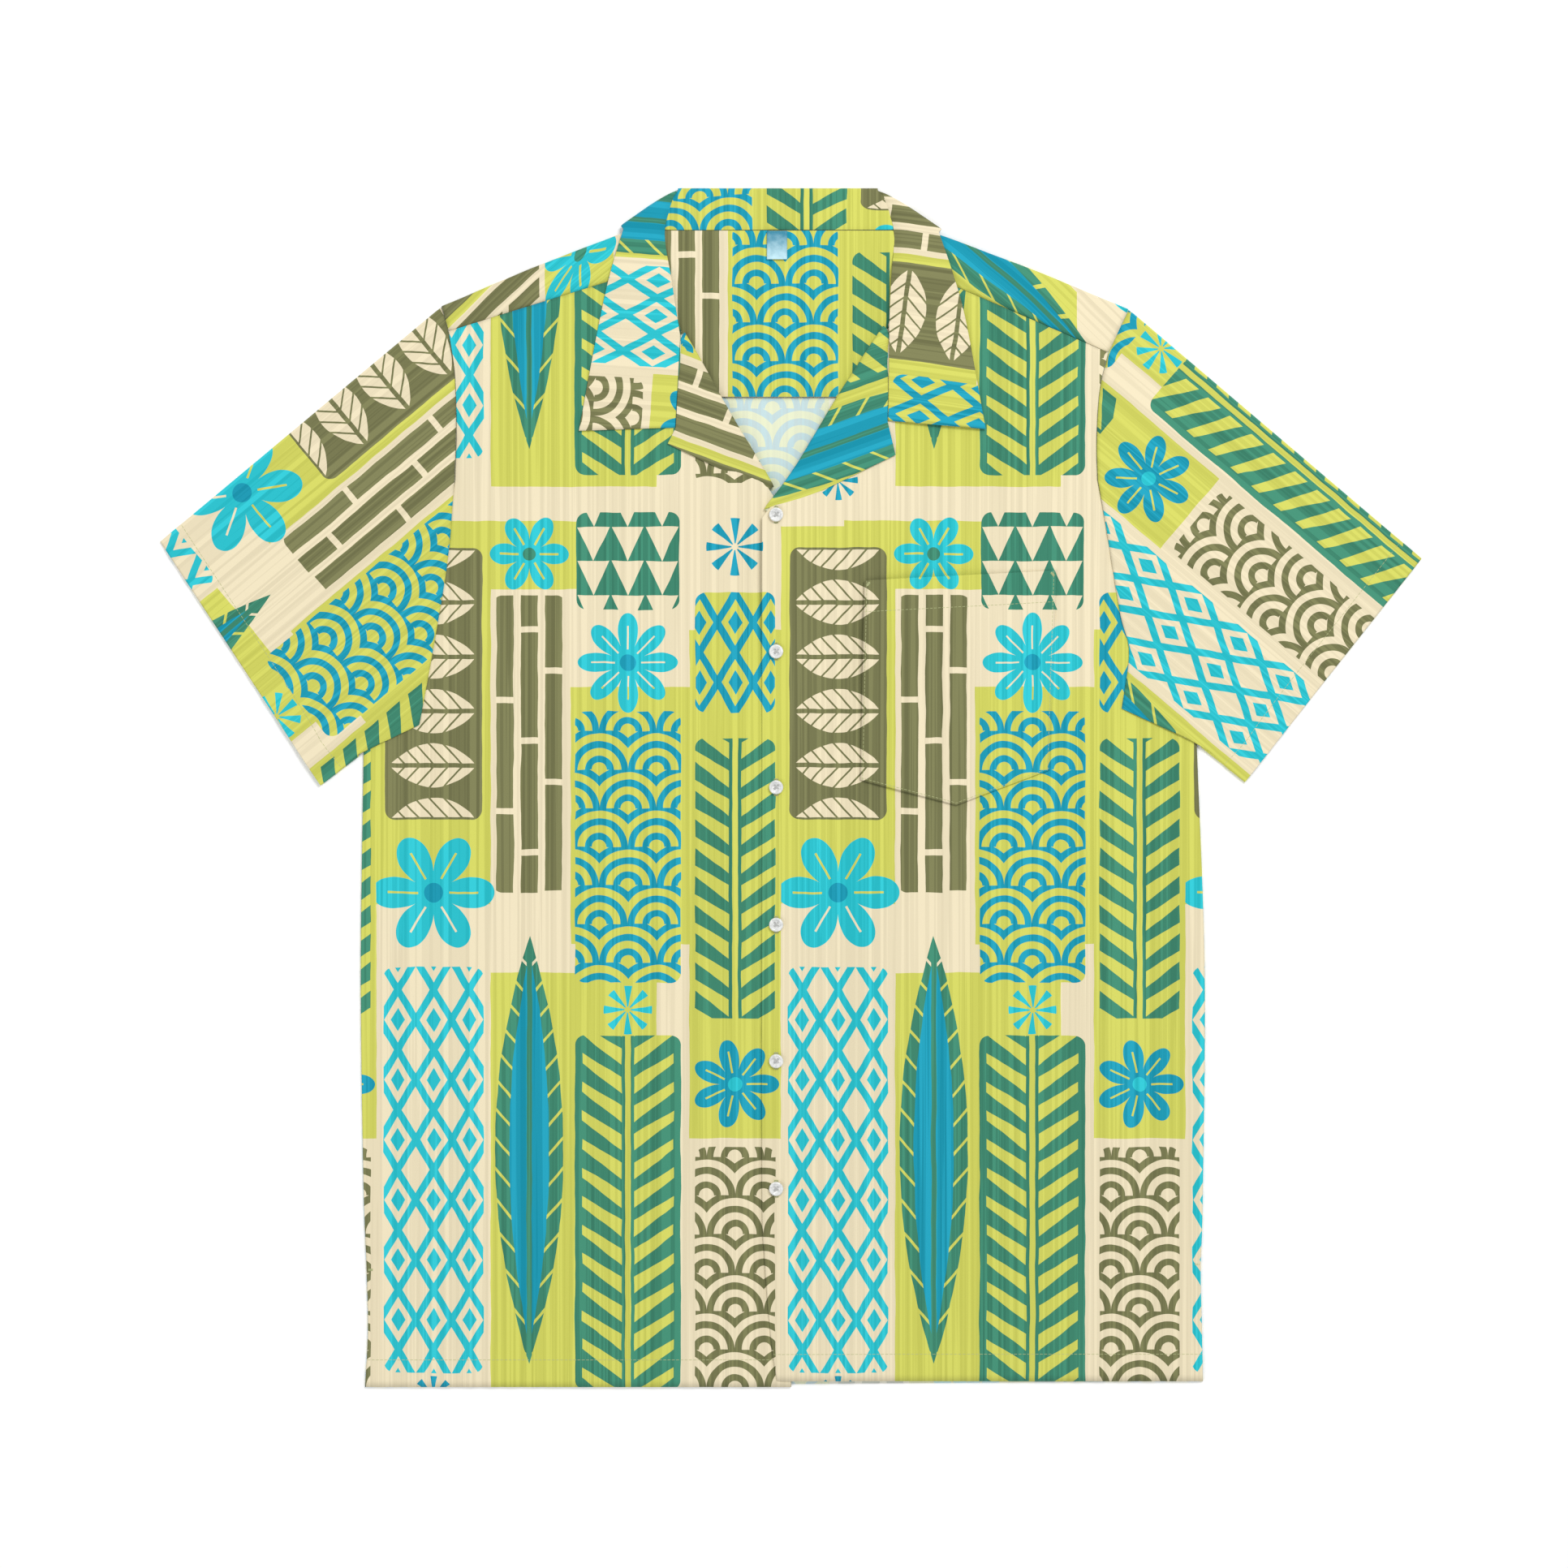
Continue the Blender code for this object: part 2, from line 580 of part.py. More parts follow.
# The right front and then the left over it, each with its facing under it
neck_layers = [top_of(back), top_of(yoke_back), top_of(yoke_facing)]
roll_right = along(ROLL_RIGHT, ROLL_POINTS_RIGHT)
roll_left = along(ROLL_LEFT, ROLL_POINTS_LEFT)
under_right = facing_under(roll_right, moved_in(roll_right, LAPEL_TURN_UNDER), neck_layers)
below_right = neck_layers + [top_of(under_right)]
front_right = front_panel(
    side_edge(SIDE_RIGHT, UNDERARM_RIGHT, ARMHOLE_RIGHT),
    front_edge(PLACKET_RIGHT, PLACKET_RIGHT_TOP, moved_in(ROLL_RIGHT, LAPEL_SLACK), NECK_RIGHT),
    below_right,
)
under_left = facing_under(
    roll_left, moved_in(roll_left, -LAPEL_TURN_UNDER), neck_layers + [top_of(front_right)]
)
below_left = below_right + [top_of(under_left), top_of(front_right)]
front_left = front_panel(
    front_edge(PLACKET_LEFT, PLACKET_LEFT_TOP, moved_in(ROLL_LEFT, -LAPEL_SLACK), NECK_LEFT),
    side_edge(SIDE_LEFT, UNDERARM_LEFT, ARMHOLE_LEFT),
    below_left,
)

# The yoke comes over the shoulders to the front yoke seams.
strip_right = shoulder_strip(SHOULDER_RIGHT, YOKE_SEAM_RIGHT, below_right)
strip_left = shoulder_strip(SHOULDER_LEFT[::-1], YOKE_SEAM_LEFT[::-1], below_left)
yoke_over_right = over_shoulder(yoke_back[-1, :SHOULDER_POINTS], strip_right)
yoke_over_left = over_shoulder(yoke_back[-1, -SHOULDER_POINTS:], strip_left)

# Lapels and the leaves of the collar, on the fronts
on_front_right = [top_of(front_right), top_of(strip_right), top_of(yoke_facing), top_of(collar_stand)]
on_front_left = [top_of(front_left), top_of(strip_left), top_of(yoke_facing), top_of(collar_stand)]
lapel_edge_right = joined((LAPEL_EDGE_RIGHT, 4), (LAPEL_NOTCH_RIGHT, 2), (GORGE_RIGHT, 5))
lapel_edge_left = joined((LAPEL_EDGE_LEFT, 5), (LAPEL_NOTCH_LEFT, 3), (GORGE_LEFT, 5))
lapel_right = rest(between(roll_right, lapel_edge_right, LAPEL_COLUMNS), on_front_right, COLLAR_REACH)
lapel_left = rest(
    between(roll_left, lapel_edge_left, LAPEL_COLUMNS), on_front_left + [top_of(lapel_right)], COLLAR_REACH
)
leaf_right = leaf(
    moved_in(GORGE_RIGHT, SEAM), LEAF_ROLL_RIGHT, LEAF_EDGE_RIGHT, fall_behind[0], on_front_right
)
leaf_left = leaf(
    moved_in(GORGE_LEFT, -SEAM), LEAF_ROLL_LEFT, LEAF_EDGE_LEFT, fall_behind[-1], on_front_left
)

# Fronts of the sleeves, each over its back layer and the side of the body
sleeve_front_right = sleeve_front(
    SLEEVE_HEM_RIGHT, [SHOULDER_RIGHT[0], ARMHOLE_RIGHT[-1]], ARMHOLE_RIGHT, SLEEVE_LAP_RIGHT,
    SLEEVE_UNDERARM_RIGHT, -1, [top_of(sleeve_back_right), lapped(front_right, SLEEVE_LAP_RIGHT, -1)],
)
sleeve_front_left = sleeve_front(
    SLEEVE_HEM_LEFT, [SHOULDER_LEFT[0], ARMHOLE_LEFT[-1]], ARMHOLE_LEFT, SLEEVE_LAP_LEFT,
    SLEEVE_UNDERARM_LEFT, 1, [top_of(sleeve_back_left), lapped(front_left, SLEEVE_LAP_LEFT, 1)],
)

# Pocket on the left front
pocket_low = joined((POCKET_BOTTOM, 5), (POCKET_BOTTOM_LEFT, 5))
pocket = rest(
    across(pocket_low, along(POCKET_TOP, POCKET_POINTS), POCKET_POINTS), [top_of(front_left)], POCKET_REACH
)

add_sheet("back", [back], wrong_side)
add_sheet("yoke", [yoke_back, yoke_over_right, yoke_over_left], printed)
add_sheet("yoke_facing", [yoke_facing], printed)
add_sheet("neck_label", [label], label_satin)
add_sheet("collar_stand", [collar_stand], printed)
add_sheet("collar_fall", [collar(leaf_right, fall_behind, leaf_left)], printed)
add_sheet("front_right", [front_right], printed)
add_sheet("front_left", [front_left], printed)
add_sheet("facing_right", [facing(under_right, lapel_right, -1)], printed)
add_sheet("facing_left", [facing(under_left, lapel_left, 1)], printed)
add_sheet("sleeve_right", [sleeve_tube(sleeve_front_right, sleeve_back_right)], printed, ring=True)
add_sheet("sleeve_left", [sleeve_tube(sleeve_front_left, sleeve_back_left)], printed, ring=True)
add_sheet("pocket", [pocket], printed)
for number, button_y in enumerate(BUTTON_YS, start=1):
    add_button(f"button_{number}", (BUTTON_X, button_y, button_seat(front_left, button_y)), pearl)
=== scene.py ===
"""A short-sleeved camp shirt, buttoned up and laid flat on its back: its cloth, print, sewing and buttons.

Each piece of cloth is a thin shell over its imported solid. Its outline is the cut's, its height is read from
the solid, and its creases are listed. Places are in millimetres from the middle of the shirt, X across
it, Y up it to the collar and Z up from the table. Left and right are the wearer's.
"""

import math
from functools import partialmethod

import bmesh
import bpy
import numpy as np
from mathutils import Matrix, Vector
from mathutils.bvhtree import BVHTree


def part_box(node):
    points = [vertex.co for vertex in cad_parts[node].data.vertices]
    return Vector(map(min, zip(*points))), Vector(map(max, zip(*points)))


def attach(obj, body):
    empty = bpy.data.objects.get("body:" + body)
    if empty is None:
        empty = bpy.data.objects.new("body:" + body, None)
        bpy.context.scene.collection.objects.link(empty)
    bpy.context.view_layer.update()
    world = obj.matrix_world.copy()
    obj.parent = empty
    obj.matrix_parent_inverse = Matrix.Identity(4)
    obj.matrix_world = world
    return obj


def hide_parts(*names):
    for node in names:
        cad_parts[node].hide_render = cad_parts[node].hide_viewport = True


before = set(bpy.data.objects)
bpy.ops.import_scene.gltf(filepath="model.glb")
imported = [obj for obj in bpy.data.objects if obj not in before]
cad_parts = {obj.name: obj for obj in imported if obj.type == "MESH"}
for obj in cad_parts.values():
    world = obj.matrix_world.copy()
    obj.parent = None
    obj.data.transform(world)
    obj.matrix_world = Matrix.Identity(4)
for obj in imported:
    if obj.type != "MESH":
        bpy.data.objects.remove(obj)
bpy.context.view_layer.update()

# ----------------------------------------
# Table and light. The shirt lies on a plain white table under a wide, soft, even light from overhead,
# and the camera looks straight down on it.

MM = 0.001
LOOK_AT = (-4.8, 2.0)
FRAME_WIDTH = 1098.2
LENS = 85.0
SENSOR = 36.0
WHITE = (1.0, 1.0, 1.0, 1.0)
SKY_STRENGTH = 0.60
TABLE_REACH = 12.0
LAMPS = (
    # name, place and width in metres, watts
    ("overhead", (0.9, 1.5, 2.4), 1.1, 44.0),
    ("fill", (-1.6, -1.2, 2.2), 2.0, 17.0),
)


def placed(name, data):
    """An object for a mesh, lamp or camera, at the origin of the scene."""
    made = bpy.data.objects.new(name, data)
    bpy.context.scene.collection.objects.link(made)
    return made


camera_data = bpy.data.cameras.new("camera")
camera_data.lens = LENS
camera_data.sensor_width = SENSOR
camera = placed("camera", camera_data)
camera.location = (LOOK_AT[0] * MM, LOOK_AT[1] * MM, FRAME_WIDTH * MM * LENS / SENSOR)
bpy.context.scene.camera = camera

world = bpy.data.worlds.new("studio")
bpy.context.scene.world = world
world.use_nodes = True
for socket, setting in (("Color", WHITE), ("Strength", SKY_STRENGTH)):
    world.node_tree.nodes["Background"].inputs[socket].default_value = setting
bpy.context.scene.view_settings.view_transform = "Standard"

for lamp_name, place, width, power in LAMPS:
    lamp_data = bpy.data.lights.new(lamp_name, "AREA")
    lamp_data.shape = "SQUARE"
    lamp_data.size = width
    lamp_data.energy = power
    lamp = placed(lamp_name, lamp_data)
    lamp.location = place
    lamp.rotation_euler = (-Vector(place)).to_track_quat("-Z", "Y").to_euler()

table_mesh = bpy.data.meshes.new("table")
table_corners = [(x * TABLE_REACH, y * TABLE_REACH, 0.0) for x, y in ((-1, -1), (1, -1), (1, 1), (-1, 1))]
table_mesh.from_pydata(table_corners, [], [(0, 1, 2, 3)])
table = placed("table", table_mesh)
table_finish = bpy.data.materials.new("white_table")
table_finish.use_nodes = True
for socket, setting in (("Base Color", WHITE), ("Roughness", 0.9)):
    table_finish.node_tree.nodes["Principled BSDF"].inputs[socket].default_value = setting
table_mesh.materials.append(table_finish)

# ----------------------------------------
# The printed cloth. A light slubbed cotton, dyed lime and cream and printed with blocks of cut-out leaves,
# blossoms, scallops and lattices in a repeat. Each colour comes in two tones, in streaks along the cloth.

LIME = (0.642, 0.655, 0.122)
CREAM = (0.830, 0.731, 0.508)
CYAN = (0.029, 0.574, 0.656)
BLUE = (0.013, 0.362, 0.512)
GREEN = (0.054, 0.271, 0.173)
OLIVE = (0.211, 0.214, 0.090)
BLEACHED = (0.86, 0.91, 0.86)
REPEAT = (283.0, 640.0)
CORNER = 7.0
WOBBLE = 1.7
WEAVE_PITCH = 0.62


class Value:
    """A number in a shader. Arithmetic and comparisons on it add Math nodes to the same finish."""

    def __init__(self, finish, socket):
        self.finish = finish
        self.socket = socket

    def math(self, operation, *others):
        """A Math node of one operation on it and on others."""
        return self.finish.node("ShaderNodeMath", {"operation": operation}, [self, *others])

    __add__ = __radd__ = partialmethod(math, "ADD")
    __sub__ = partialmethod(math, "SUBTRACT")
    __mul__ = __rmul__ = partialmethod(math, "MULTIPLY")
    __truediv__ = partialmethod(math, "DIVIDE")
    __lt__ = partialmethod(math, "LESS_THAN")
    __gt__ = partialmethod(math, "GREATER_THAN")
    __abs__ = partialmethod(math, "ABSOLUTE")
    part = partialmethod(math, "FRACT")
    whole = partialmethod(math, "FLOOR")
    either = partialmethod(math, "MAXIMUM")
    root = partialmethod(math, "SQRT")
    sine = partialmethod(math, "SINE")

    def __rsub__(self, other):
        return self * -1.0 + other

    def squared(self):
        return self * self


class Finish:
    """A material under construction: its nodes and its shader."""

    def __init__(self, name):
        self.material = bpy.data.materials.new(name)
        self.material.use_nodes = True
        self.tree = self.material.node_tree
        self.shader = self.tree.nodes["Principled BSDF"]

    def node(self, kind, settings, values, output=0):
        """A node of a kind: its settings first, then its sockets, by place or name, from values or links."""
        made = self.tree.nodes.new(kind)
        for name, setting in settings.items():
            setattr(made, name, setting)
        named = values.items() if isinstance(values, dict) else enumerate(values)
        for key, value in named:
            if isinstance(value, Value):
                self.tree.links.new(value.socket, made.inputs[key])
            else:
                made.inputs[key].default_value = value
        return Value(self, made.outputs[output])

    def blend(self, share, under, over):
        """One colour over another, as far as the share says."""
        made = self.tree.nodes.new("ShaderNodeMix")
        made.data_type = "RGBA"
        for place, value in ((0, share), (6, under), (7, over)):
            if isinstance(value, Value):
                self.tree.links.new(value.socket, made.inputs[place])
            else:
                made.inputs[place].default_value = (*value, 1.0) if place else value
        return Value(self, made.outputs[2])

    def feed(self, socket, value):
        """A value that changes over the surface, into one of the shader's sockets."""
        self.tree.links.new(value.socket, self.shader.inputs[socket])

    def fix(self, numbers):
        """Numbers that hold all over the surface, by the shader's sockets."""
        for socket, number in numbers.items():
            self.shader.inputs[socket].default_value = number


def in_block(x, y, half_width, half_height):
    """1 inside a block round the origin: |x| under its half width and |y| under its half height."""
    return (abs(x) < half_width) * (abs(y) < half_height)


def in_panel(x, y, half_width, half_height):
    """1 inside a block with round corners, where max(|x| - a, 0)^2 + max(|y| - b, 0)^2 < r^2."""
    past_x = (abs(x) - (half_width - CORNER)).either(0.0)
    past_y = (abs(y) - (half_height - CORNER)).either(0.0)
    return past_x.squared() + past_y.squared() < CORNER**2


def frond(x, y, pitch=20.0, slant=26.0, reach=32.0, stem=2.0, gap=4.4):
    """Palm leaflets that rise from a stem: a repeat of y less a share of |x|, thinner away from the stem."""
    leaflet = ((y / pitch - abs(x) / slant).part() < (0.62 - abs(x) / 120.0)) * (abs(x) < reach)
    return (leaflet * (abs(x) > gap)).either(abs(x) < stem)


def lattice(x, y, wide=25.0, tall=42.0, line=0.115, heart=0.2):
    """Lines of a diamond lattice, where |x| and |y| within a cell add up to a half, and its hearts."""
    reach = abs((x / wide + 0.5).part() - 0.5) + abs((y / tall).part() - 0.5)
    return (abs(reach - 0.5) < line).either(reach < heart)


def scallops(x, y, wide=40.0, tall=27.0, ring=10.0, inked=0.52):
    """Rows of half rings, each row set half a ring aside from the one below."""
    row = (y / tall).whole()
    across = ((x / wide + row * 0.5).part() - 0.5) * wide
    up = (y / tall).part() * tall
    return ((across.squared() + up.squared()).root() / ring).part() < inked


def blossom(x, y, radius, petals):
    """Petals r < R (0.34 + 0.66 |cos(n a / 2)|^0.7), each with a slit down its middle."""
    away = (x.squared() + y.squared()).root()
    turn = y.math("ARCTAN2", x) * (petals / 2.0)
    petal = away < (abs(turn.math("COSINE")).math("POWER", 0.7) * (0.66 * radius) + 0.34 * radius)
    slit = (abs(turn.sine()) * away < 2.3) * (away > 0.26 * radius) * (away < 0.74 * radius)
    return petal * (1.0 - slit), away < 0.16 * radius


def stacked_leaves(x, y, pitch=38.0, half_width=31.0, half_height=15.5, midrib=1.6):
    """Leaves lying across, one over the other: |y| under h (1 - (x / w)^2), with their veins left out."""
    up = ((y / pitch).part() - 0.5) * pitch
    leaf = abs(up) < (1.0 - (x / half_width).squared()) * half_height
    return leaf * (abs(up) > midrib) * (1.0 - ((x / 10.0 + abs(up) / 11.0).part() < 0.17))


def long_leaf(x, y, outer_half=(24.0, 150.0), inner_half=(14.0, 138.0)):
    """A tall slim leaf and the band within it, of half widths w (1 - (y / h)^2), each cut off at h."""
    outer = (abs(x) < (1.0 - (y / outer_half[1]).squared()) * outer_half[0]) * (abs(y) < outer_half[1])
    inner = (abs(x) < (1.0 - (y / inner_half[1]).squared()) * inner_half[0]) * (abs(y) < inner_half[1])
    vein = ((y / 21.0 - abs(x) / 18.0).part() < 0.13) * (abs(x) > 2.0)
    return outer * (1.0 - vein), inner * (abs(x) > 1.8)


def canes(x, y, pitch=17.0, joint_pitch=78.0, half_width=0.35):
    """Upright canes side by side with a gap at each joint, set up and down by turns."""
    place = x / pitch + 0.5
    joint = (y / joint_pitch + place.whole() * 0.37).part() < 0.055
    return (abs(place.part() - 0.5) < half_width) * (1.0 - joint)


def teeth(x, y, side=24.0):
    """Rows of triangles, wider the higher in their row."""
    return abs((x / side + 0.5).part() - 0.5) * 2.0 < (y / side).part() * 0.94


def sparkle(x, y, radius):
    """Eight short rays that widen outwards."""
    away = (x.squared() + y.squared()).root()
    turn = abs((y.math("ARCTAN2", x) * 4.0).sine())
    return (turn < 0.62) * (away < radius) * (away > 0.12 * radius)


LIME_BLOCKS = (
    # middle x and y, half width, half height
    (40.0, 490.0, 40.0, 132.0),
    (138.0, 160.0, 58.0, 150.0),
    (178.0, 420.0, 42.0, 90.0),
    (251.0, 372.0, 32.0, 178.0),
    (104.0, 602.0, 60.0, 24.0),
)
PANELS = (
    # middle x and y, half width, half height, panel colour, figure, figure colour
    (40.0, 172.0, 35.0, 142.0, CREAM, lattice, CYAN),
    (40.0, 512.0, 34.0, 95.0, OLIVE, stacked_leaves, CREAM),
    (107.0, 470.0, 25.5, 104.0, CREAM, canes, OLIVE),
    (176.0, 142.0, 37.0, 124.0, GREEN, frond, LIME),
    (176.0, 398.0, 37.0, 95.0, BLUE, scallops, LIME),
    (176.0, 598.0, 36.0, 34.0, GREEN, teeth, CREAM),
    (251.0, 100.0, 28.0, 88.0, OLIVE, scallops, CREAM),
    (251.0, 376.0, 28.0, 98.0, GREEN, frond, LIME),
    (251.0, 534.0, 28.0, 42.0, LIME, lattice, BLUE),
)
LONG_LEAF_MIDDLE = (107.0, 186.0)
BLOSSOMS = (
    # middle x and y, radius, petals, colour, colour of the heart
    (40.0, 366.0, 43.0, 6.0, CYAN, BLUE),
    (176.0, 527.0, 35.0, 8.0, CYAN, BLUE),
    (251.0, 232.0, 31.0, 7.0, BLUE, CYAN),
    (107.0, 603.0, 28.0, 6.0, CYAN, GREEN),
)
SPARKLES = (
    # middle x and y, radius, colour
    (40.0, 14.0, 14.0, BLUE),
    (176.0, 284.0, 17.0, CYAN),
    (251.0, 608.0, 20.0, BLUE),
)
SLUBS = (
    # streaks a metre across and along the cloth, seed, level, sharpness, share of the deeper tone
    (230.0, 1.5, 3.0, 0.49, 34.0, 0.65),
    (360.0, 2.0, 8.0, 0.52, 30.0, 0.65),
)


def printed_finish(name, fade):
    """The print on its cloth, by the cut's coordinates in metres; fade is how far it is bleached."""
    finish = Finish(name)
    uv = finish.node("ShaderNodeUVMap", {"uv_map": "cut"}, [])

    def drift(scale):
        """How far the print strays from true, by up to half the wobble either way."""
        noise = finish.node("ShaderNodeTexNoise", {"noise_dimensions": "2D"}, {"Vector": uv, "Scale": scale})
        return (noise - 0.5) * WOBBLE

    cut_x = finish.node("ShaderNodeSeparateXYZ", {}, [uv], 0) * 1000.0
    cut_y = finish.node("ShaderNodeSeparateXYZ", {}, [uv], 1) * 1000.0
    x = ((cut_x + drift(34.0)) / REPEAT[0]).part() * REPEAT[0]
    y = ((cut_y + drift(47.0)) / REPEAT[1]).part() * REPEAT[1]

    # Lime blocks on a cream ground, then panels with their figures, and figures that stand free
    colour = finish.blend(0.0, CREAM, CREAM)
    for middle_x, middle_y, half_x, half_y in LIME_BLOCKS:
        colour = finish.blend(in_block(x - middle_x, y - middle_y, half_x, half_y), colour, LIME)
    for middle_x, middle_y, half_x, half_y, panel, figure, ink in PANELS:
        near_x = x - middle_x
        near_y = y - middle_y
        block = in_panel(near_x, near_y, half_x, half_y)
        colour = finish.blend(block, colour, panel)
        colour = finish.blend(block * figure(near_x, near_y), colour, ink)
    outer, inner = long_leaf(x - LONG_LEAF_MIDDLE[0], y - LONG_LEAF_MIDDLE[1])
    colour = finish.blend(outer, colour, GREEN)
    colour = finish.blend(inner, colour, BLUE)
    for middle_x, middle_y, radius, petals, ink, heart in BLOSSOMS:
        petal, middle = blossom(x - middle_x, y - middle_y, radius, petals)
        colour = finish.blend(petal, colour, ink)
        colour = finish.blend(middle, colour, heart)
    for middle_x, middle_y, radius, ink in SPARKLES:
        colour = finish.blend(sparkle(x - middle_x, y - middle_y, radius), colour, ink)

    def streaks(across, lengthwise, seed):
        """Noise drawn out along the cloth, so many times a metre each way."""
        scaled = [uv, (across, lengthwise, 0.0), (seed, seed, 0.0)]
        place = finish.node("ShaderNodeVectorMath", {"operation": "MULTIPLY_ADD"}, scaled)
        values = {"Vector": place, "Scale": 1.0, "Detail": 1.5}
        return finish.node("ShaderNodeTexNoise", {"noise_dimensions": "2D"}, values)

    # Slubs: two tones in uneven streaks along the cloth, further apart in the dark colours
    shade = 0.0
    for across, lengthwise, seed, level, sharpness, share in SLUBS:
        slub = finish.node("ShaderNodeClamp", {}, [(streaks(across, lengthwise, seed) - level) * sharpness])
        shade = slub * share + shade
    tone = finish.node("ShaderNodeRGBToBW", {}, [colour])
    dimmed = {"Saturation": 1.02, "Value": tone * 0.38 + 0.60, "Color": colour}
    deeper = finish.node("ShaderNodeHueSaturation", {}, dimmed)
    colour = finish.blend(shade, colour, deeper)
    if fade:
        colour = finish.blend(fade, colour, BLEACHED)
    finish.feed("Base Color", colour)
    finish.fix({"Roughness": 0.86, "Specular IOR Level": 0.2, "Sheen Weight": 0.08, "Sheen Roughness": 0.5})

    # Weave: a fine over-and-under of threads, with the thick slub threads standing a little higher
    turns = 2.0 * math.pi / WEAVE_PITCH
    weave = (cut_x * turns).sine() * (cut_y * turns).sine()
    relief = weave * 0.012 + streaks(420.0, 9.0, 5.0) * 0.16 + streaks(60.0, 30.0, 1.0) * 0.22
    bump = finish.node("ShaderNodeBump", {}, {"Strength": 0.5, "Distance": 0.001, "Height": relief})
    finish.feed("Normal", bump)
    return finish.material


printed = printed_finish("printed_cloth", 0.0)
wrong_side = printed_finish("cloth_wrong_side", 0.62)

# ----------------------------------------
# Back panel. One piece of cloth from the hem to the yoke, lying flat on the table with the print down,
# so that its pale wrong side shows in the neck opening.

WALL = 0.55
SOLID_WALL = 1.0
FINE = 6
HEM_DEPTH = 19.0
HEM_Y = -420.0
VENT_Y = -336.0
SIDE_RIGHT = [
    (-298.0, HEM_Y), (-296.0, -380.0), (-297.0, VENT_Y), (-299.2, -273.0), (-301.0, -131.0), (-299.0, 25.0)
]
SIDE_LEFT = [
    (288.4, -416.0), (287.6, -375.0), (286.8, VENT_Y), (288.2, -290.0), (289.6, -130.0), (284.0, 32.0)
]
ARMHOLE_BACK_RIGHT = [
    (-299.0, 25.0), (-281.0, 72.0), (-257.0, 126.0), (-243.0, 182.0), (-240.0, 230.0), (-242.0, 272.6)
]
ARMHOLE_BACK_LEFT = [
    (284.0, 32.0), (266.0, 76.0), (243.0, 126.0), (231.0, 182.0), (229.0, 230.0), (232.0, 272.6)
]
THREAD_SIDES = 6
LIME_THREAD = (0.56, 0.60, 0.30)
BACK_CREASES = (
    # x, y, degrees, half-length, width, bend, rise
    (-150.0, -120.0, 84.0, 120.0, 9.0, 12.0, 0.45),
    (120.0, -200.0, 97.0, 140.0, 11.0, -10.0, 0.5),
    (20.0, 60.0, 70.0, 110.0, 10.0, 8.0, 0.4),
    (-60.0, -330.0, 112.0, 70.0, 8.0, -6.0, 0.4),
)


def finer(count):
    """How many points a stretch has here for so many in the solid."""
    return (count - 1) * FINE + 1


def along(curve, count):
    """Points spaced evenly along a smooth line through the points of a table: cubics with the tangents of
    their neighbours, then evened out by length."""
    knots = np.array(curve, dtype=float)
    padded = np.vstack([2 * knots[0] - knots[1], knots, 2 * knots[-1] - knots[-2]])
    t = np.linspace(0.0, 1.0, 24, endpoint=False)[None, :, None]
    start = padded[1:-2, None]
    end = padded[2:-1, None]
    leaving = (end - padded[:-3, None]) / 2
    arriving = (padded[3:, None] - start) / 2
    dense = (
        (2 * t**3 - 3 * t**2 + 1) * start + (t**3 - 2 * t**2 + t) * leaving
        + (3 * t**2 - 2 * t**3) * end + (t**3 - t**2) * arriving
    )
    dense = np.vstack([dense.reshape(-1, knots.shape[1]), knots[-1:]])
    lengths = np.concatenate([[0.0], np.cumsum(np.linalg.norm(np.diff(dense, axis=0), axis=1))])
    wanted = np.linspace(0.0, lengths[-1], count)
    return np.column_stack([np.interp(wanted, lengths, dense[:, k]) for k in range(dense.shape[1])])


def joined(*stretches):
    """One row of points from stretches that share their end points, each finer than in the solid."""
    rows = [along(curve, finer(count)) for curve, count in stretches]
    return np.vstack([rows[0]] + [row[1:] for row in rows[1:]])


def stations(count, near=0.0035):
    """Shares from 0 to 1, even but for a few close to both ends, where cloth turns into its seam."""
    close = near * np.array([0.0, 1.0, 2.2, 4.0])
    middle = np.linspace(0.0, 1.0, finer(count))[1:-1]
    middle = middle[(middle > close[-1] * 1.5) & (middle < 1.0 - close[-1] * 1.5)]
    return np.concatenate([close, middle, 1.0 - close[::-1]])


def between(edge_a, edge_b, shares):
    """Grid ruled straight from one edge to the other: (1 - s) a + s b at each share s."""
    s = shares[None, :, None]
    return edge_a[:, None, :] * (1 - s) + edge_b[:, None, :] * s


def turned(grid):
    """The same grid with its rows for columns."""
    return grid.transpose(1, 0, 2)


def creases(grid, table):
    """Height of soft troughs and ridges: h exp(-(across / width)^2) (1 - t^2)^2 beside a bent line, with t
    from -1 to 1 along it."""
    height = 0.0
    for middle_x, middle_y, degrees, half_length, width, bend, rise in table:
        x = grid[..., 0] - middle_x
        y = grid[..., 1] - middle_y
        turn = math.radians(degrees)
        t = (x * math.cos(turn) + y * math.sin(turn)) / half_length
        across = y * math.cos(turn) - x * math.sin(turn) - bend * t**2
        height += rise * np.exp(-(across / width) ** 2) * np.clip(1 - t**2, 0.0, 1.0) ** 2
    return height


def arc_lengths(grid, axis):
    """How far each point lies along its line of the grid."""
    steps = np.linalg.norm(np.diff(grid, axis=axis), axis=2)
    return np.concatenate([np.zeros_like(np.take(steps, [0], axis)), np.cumsum(steps, axis)], axis)


def from_edge(grid, axis, far=False):
    """How far each point of a grid is from one of its edges, along the grid's lines, as seen from above."""
    reach = arc_lengths(grid[..., :2], axis)
    return np.take(reach, [-1], axis) - reach if far else reach


def laid(grid, height):
    """The flat grid at its heights."""
    return np.dstack([grid[..., :2], height])


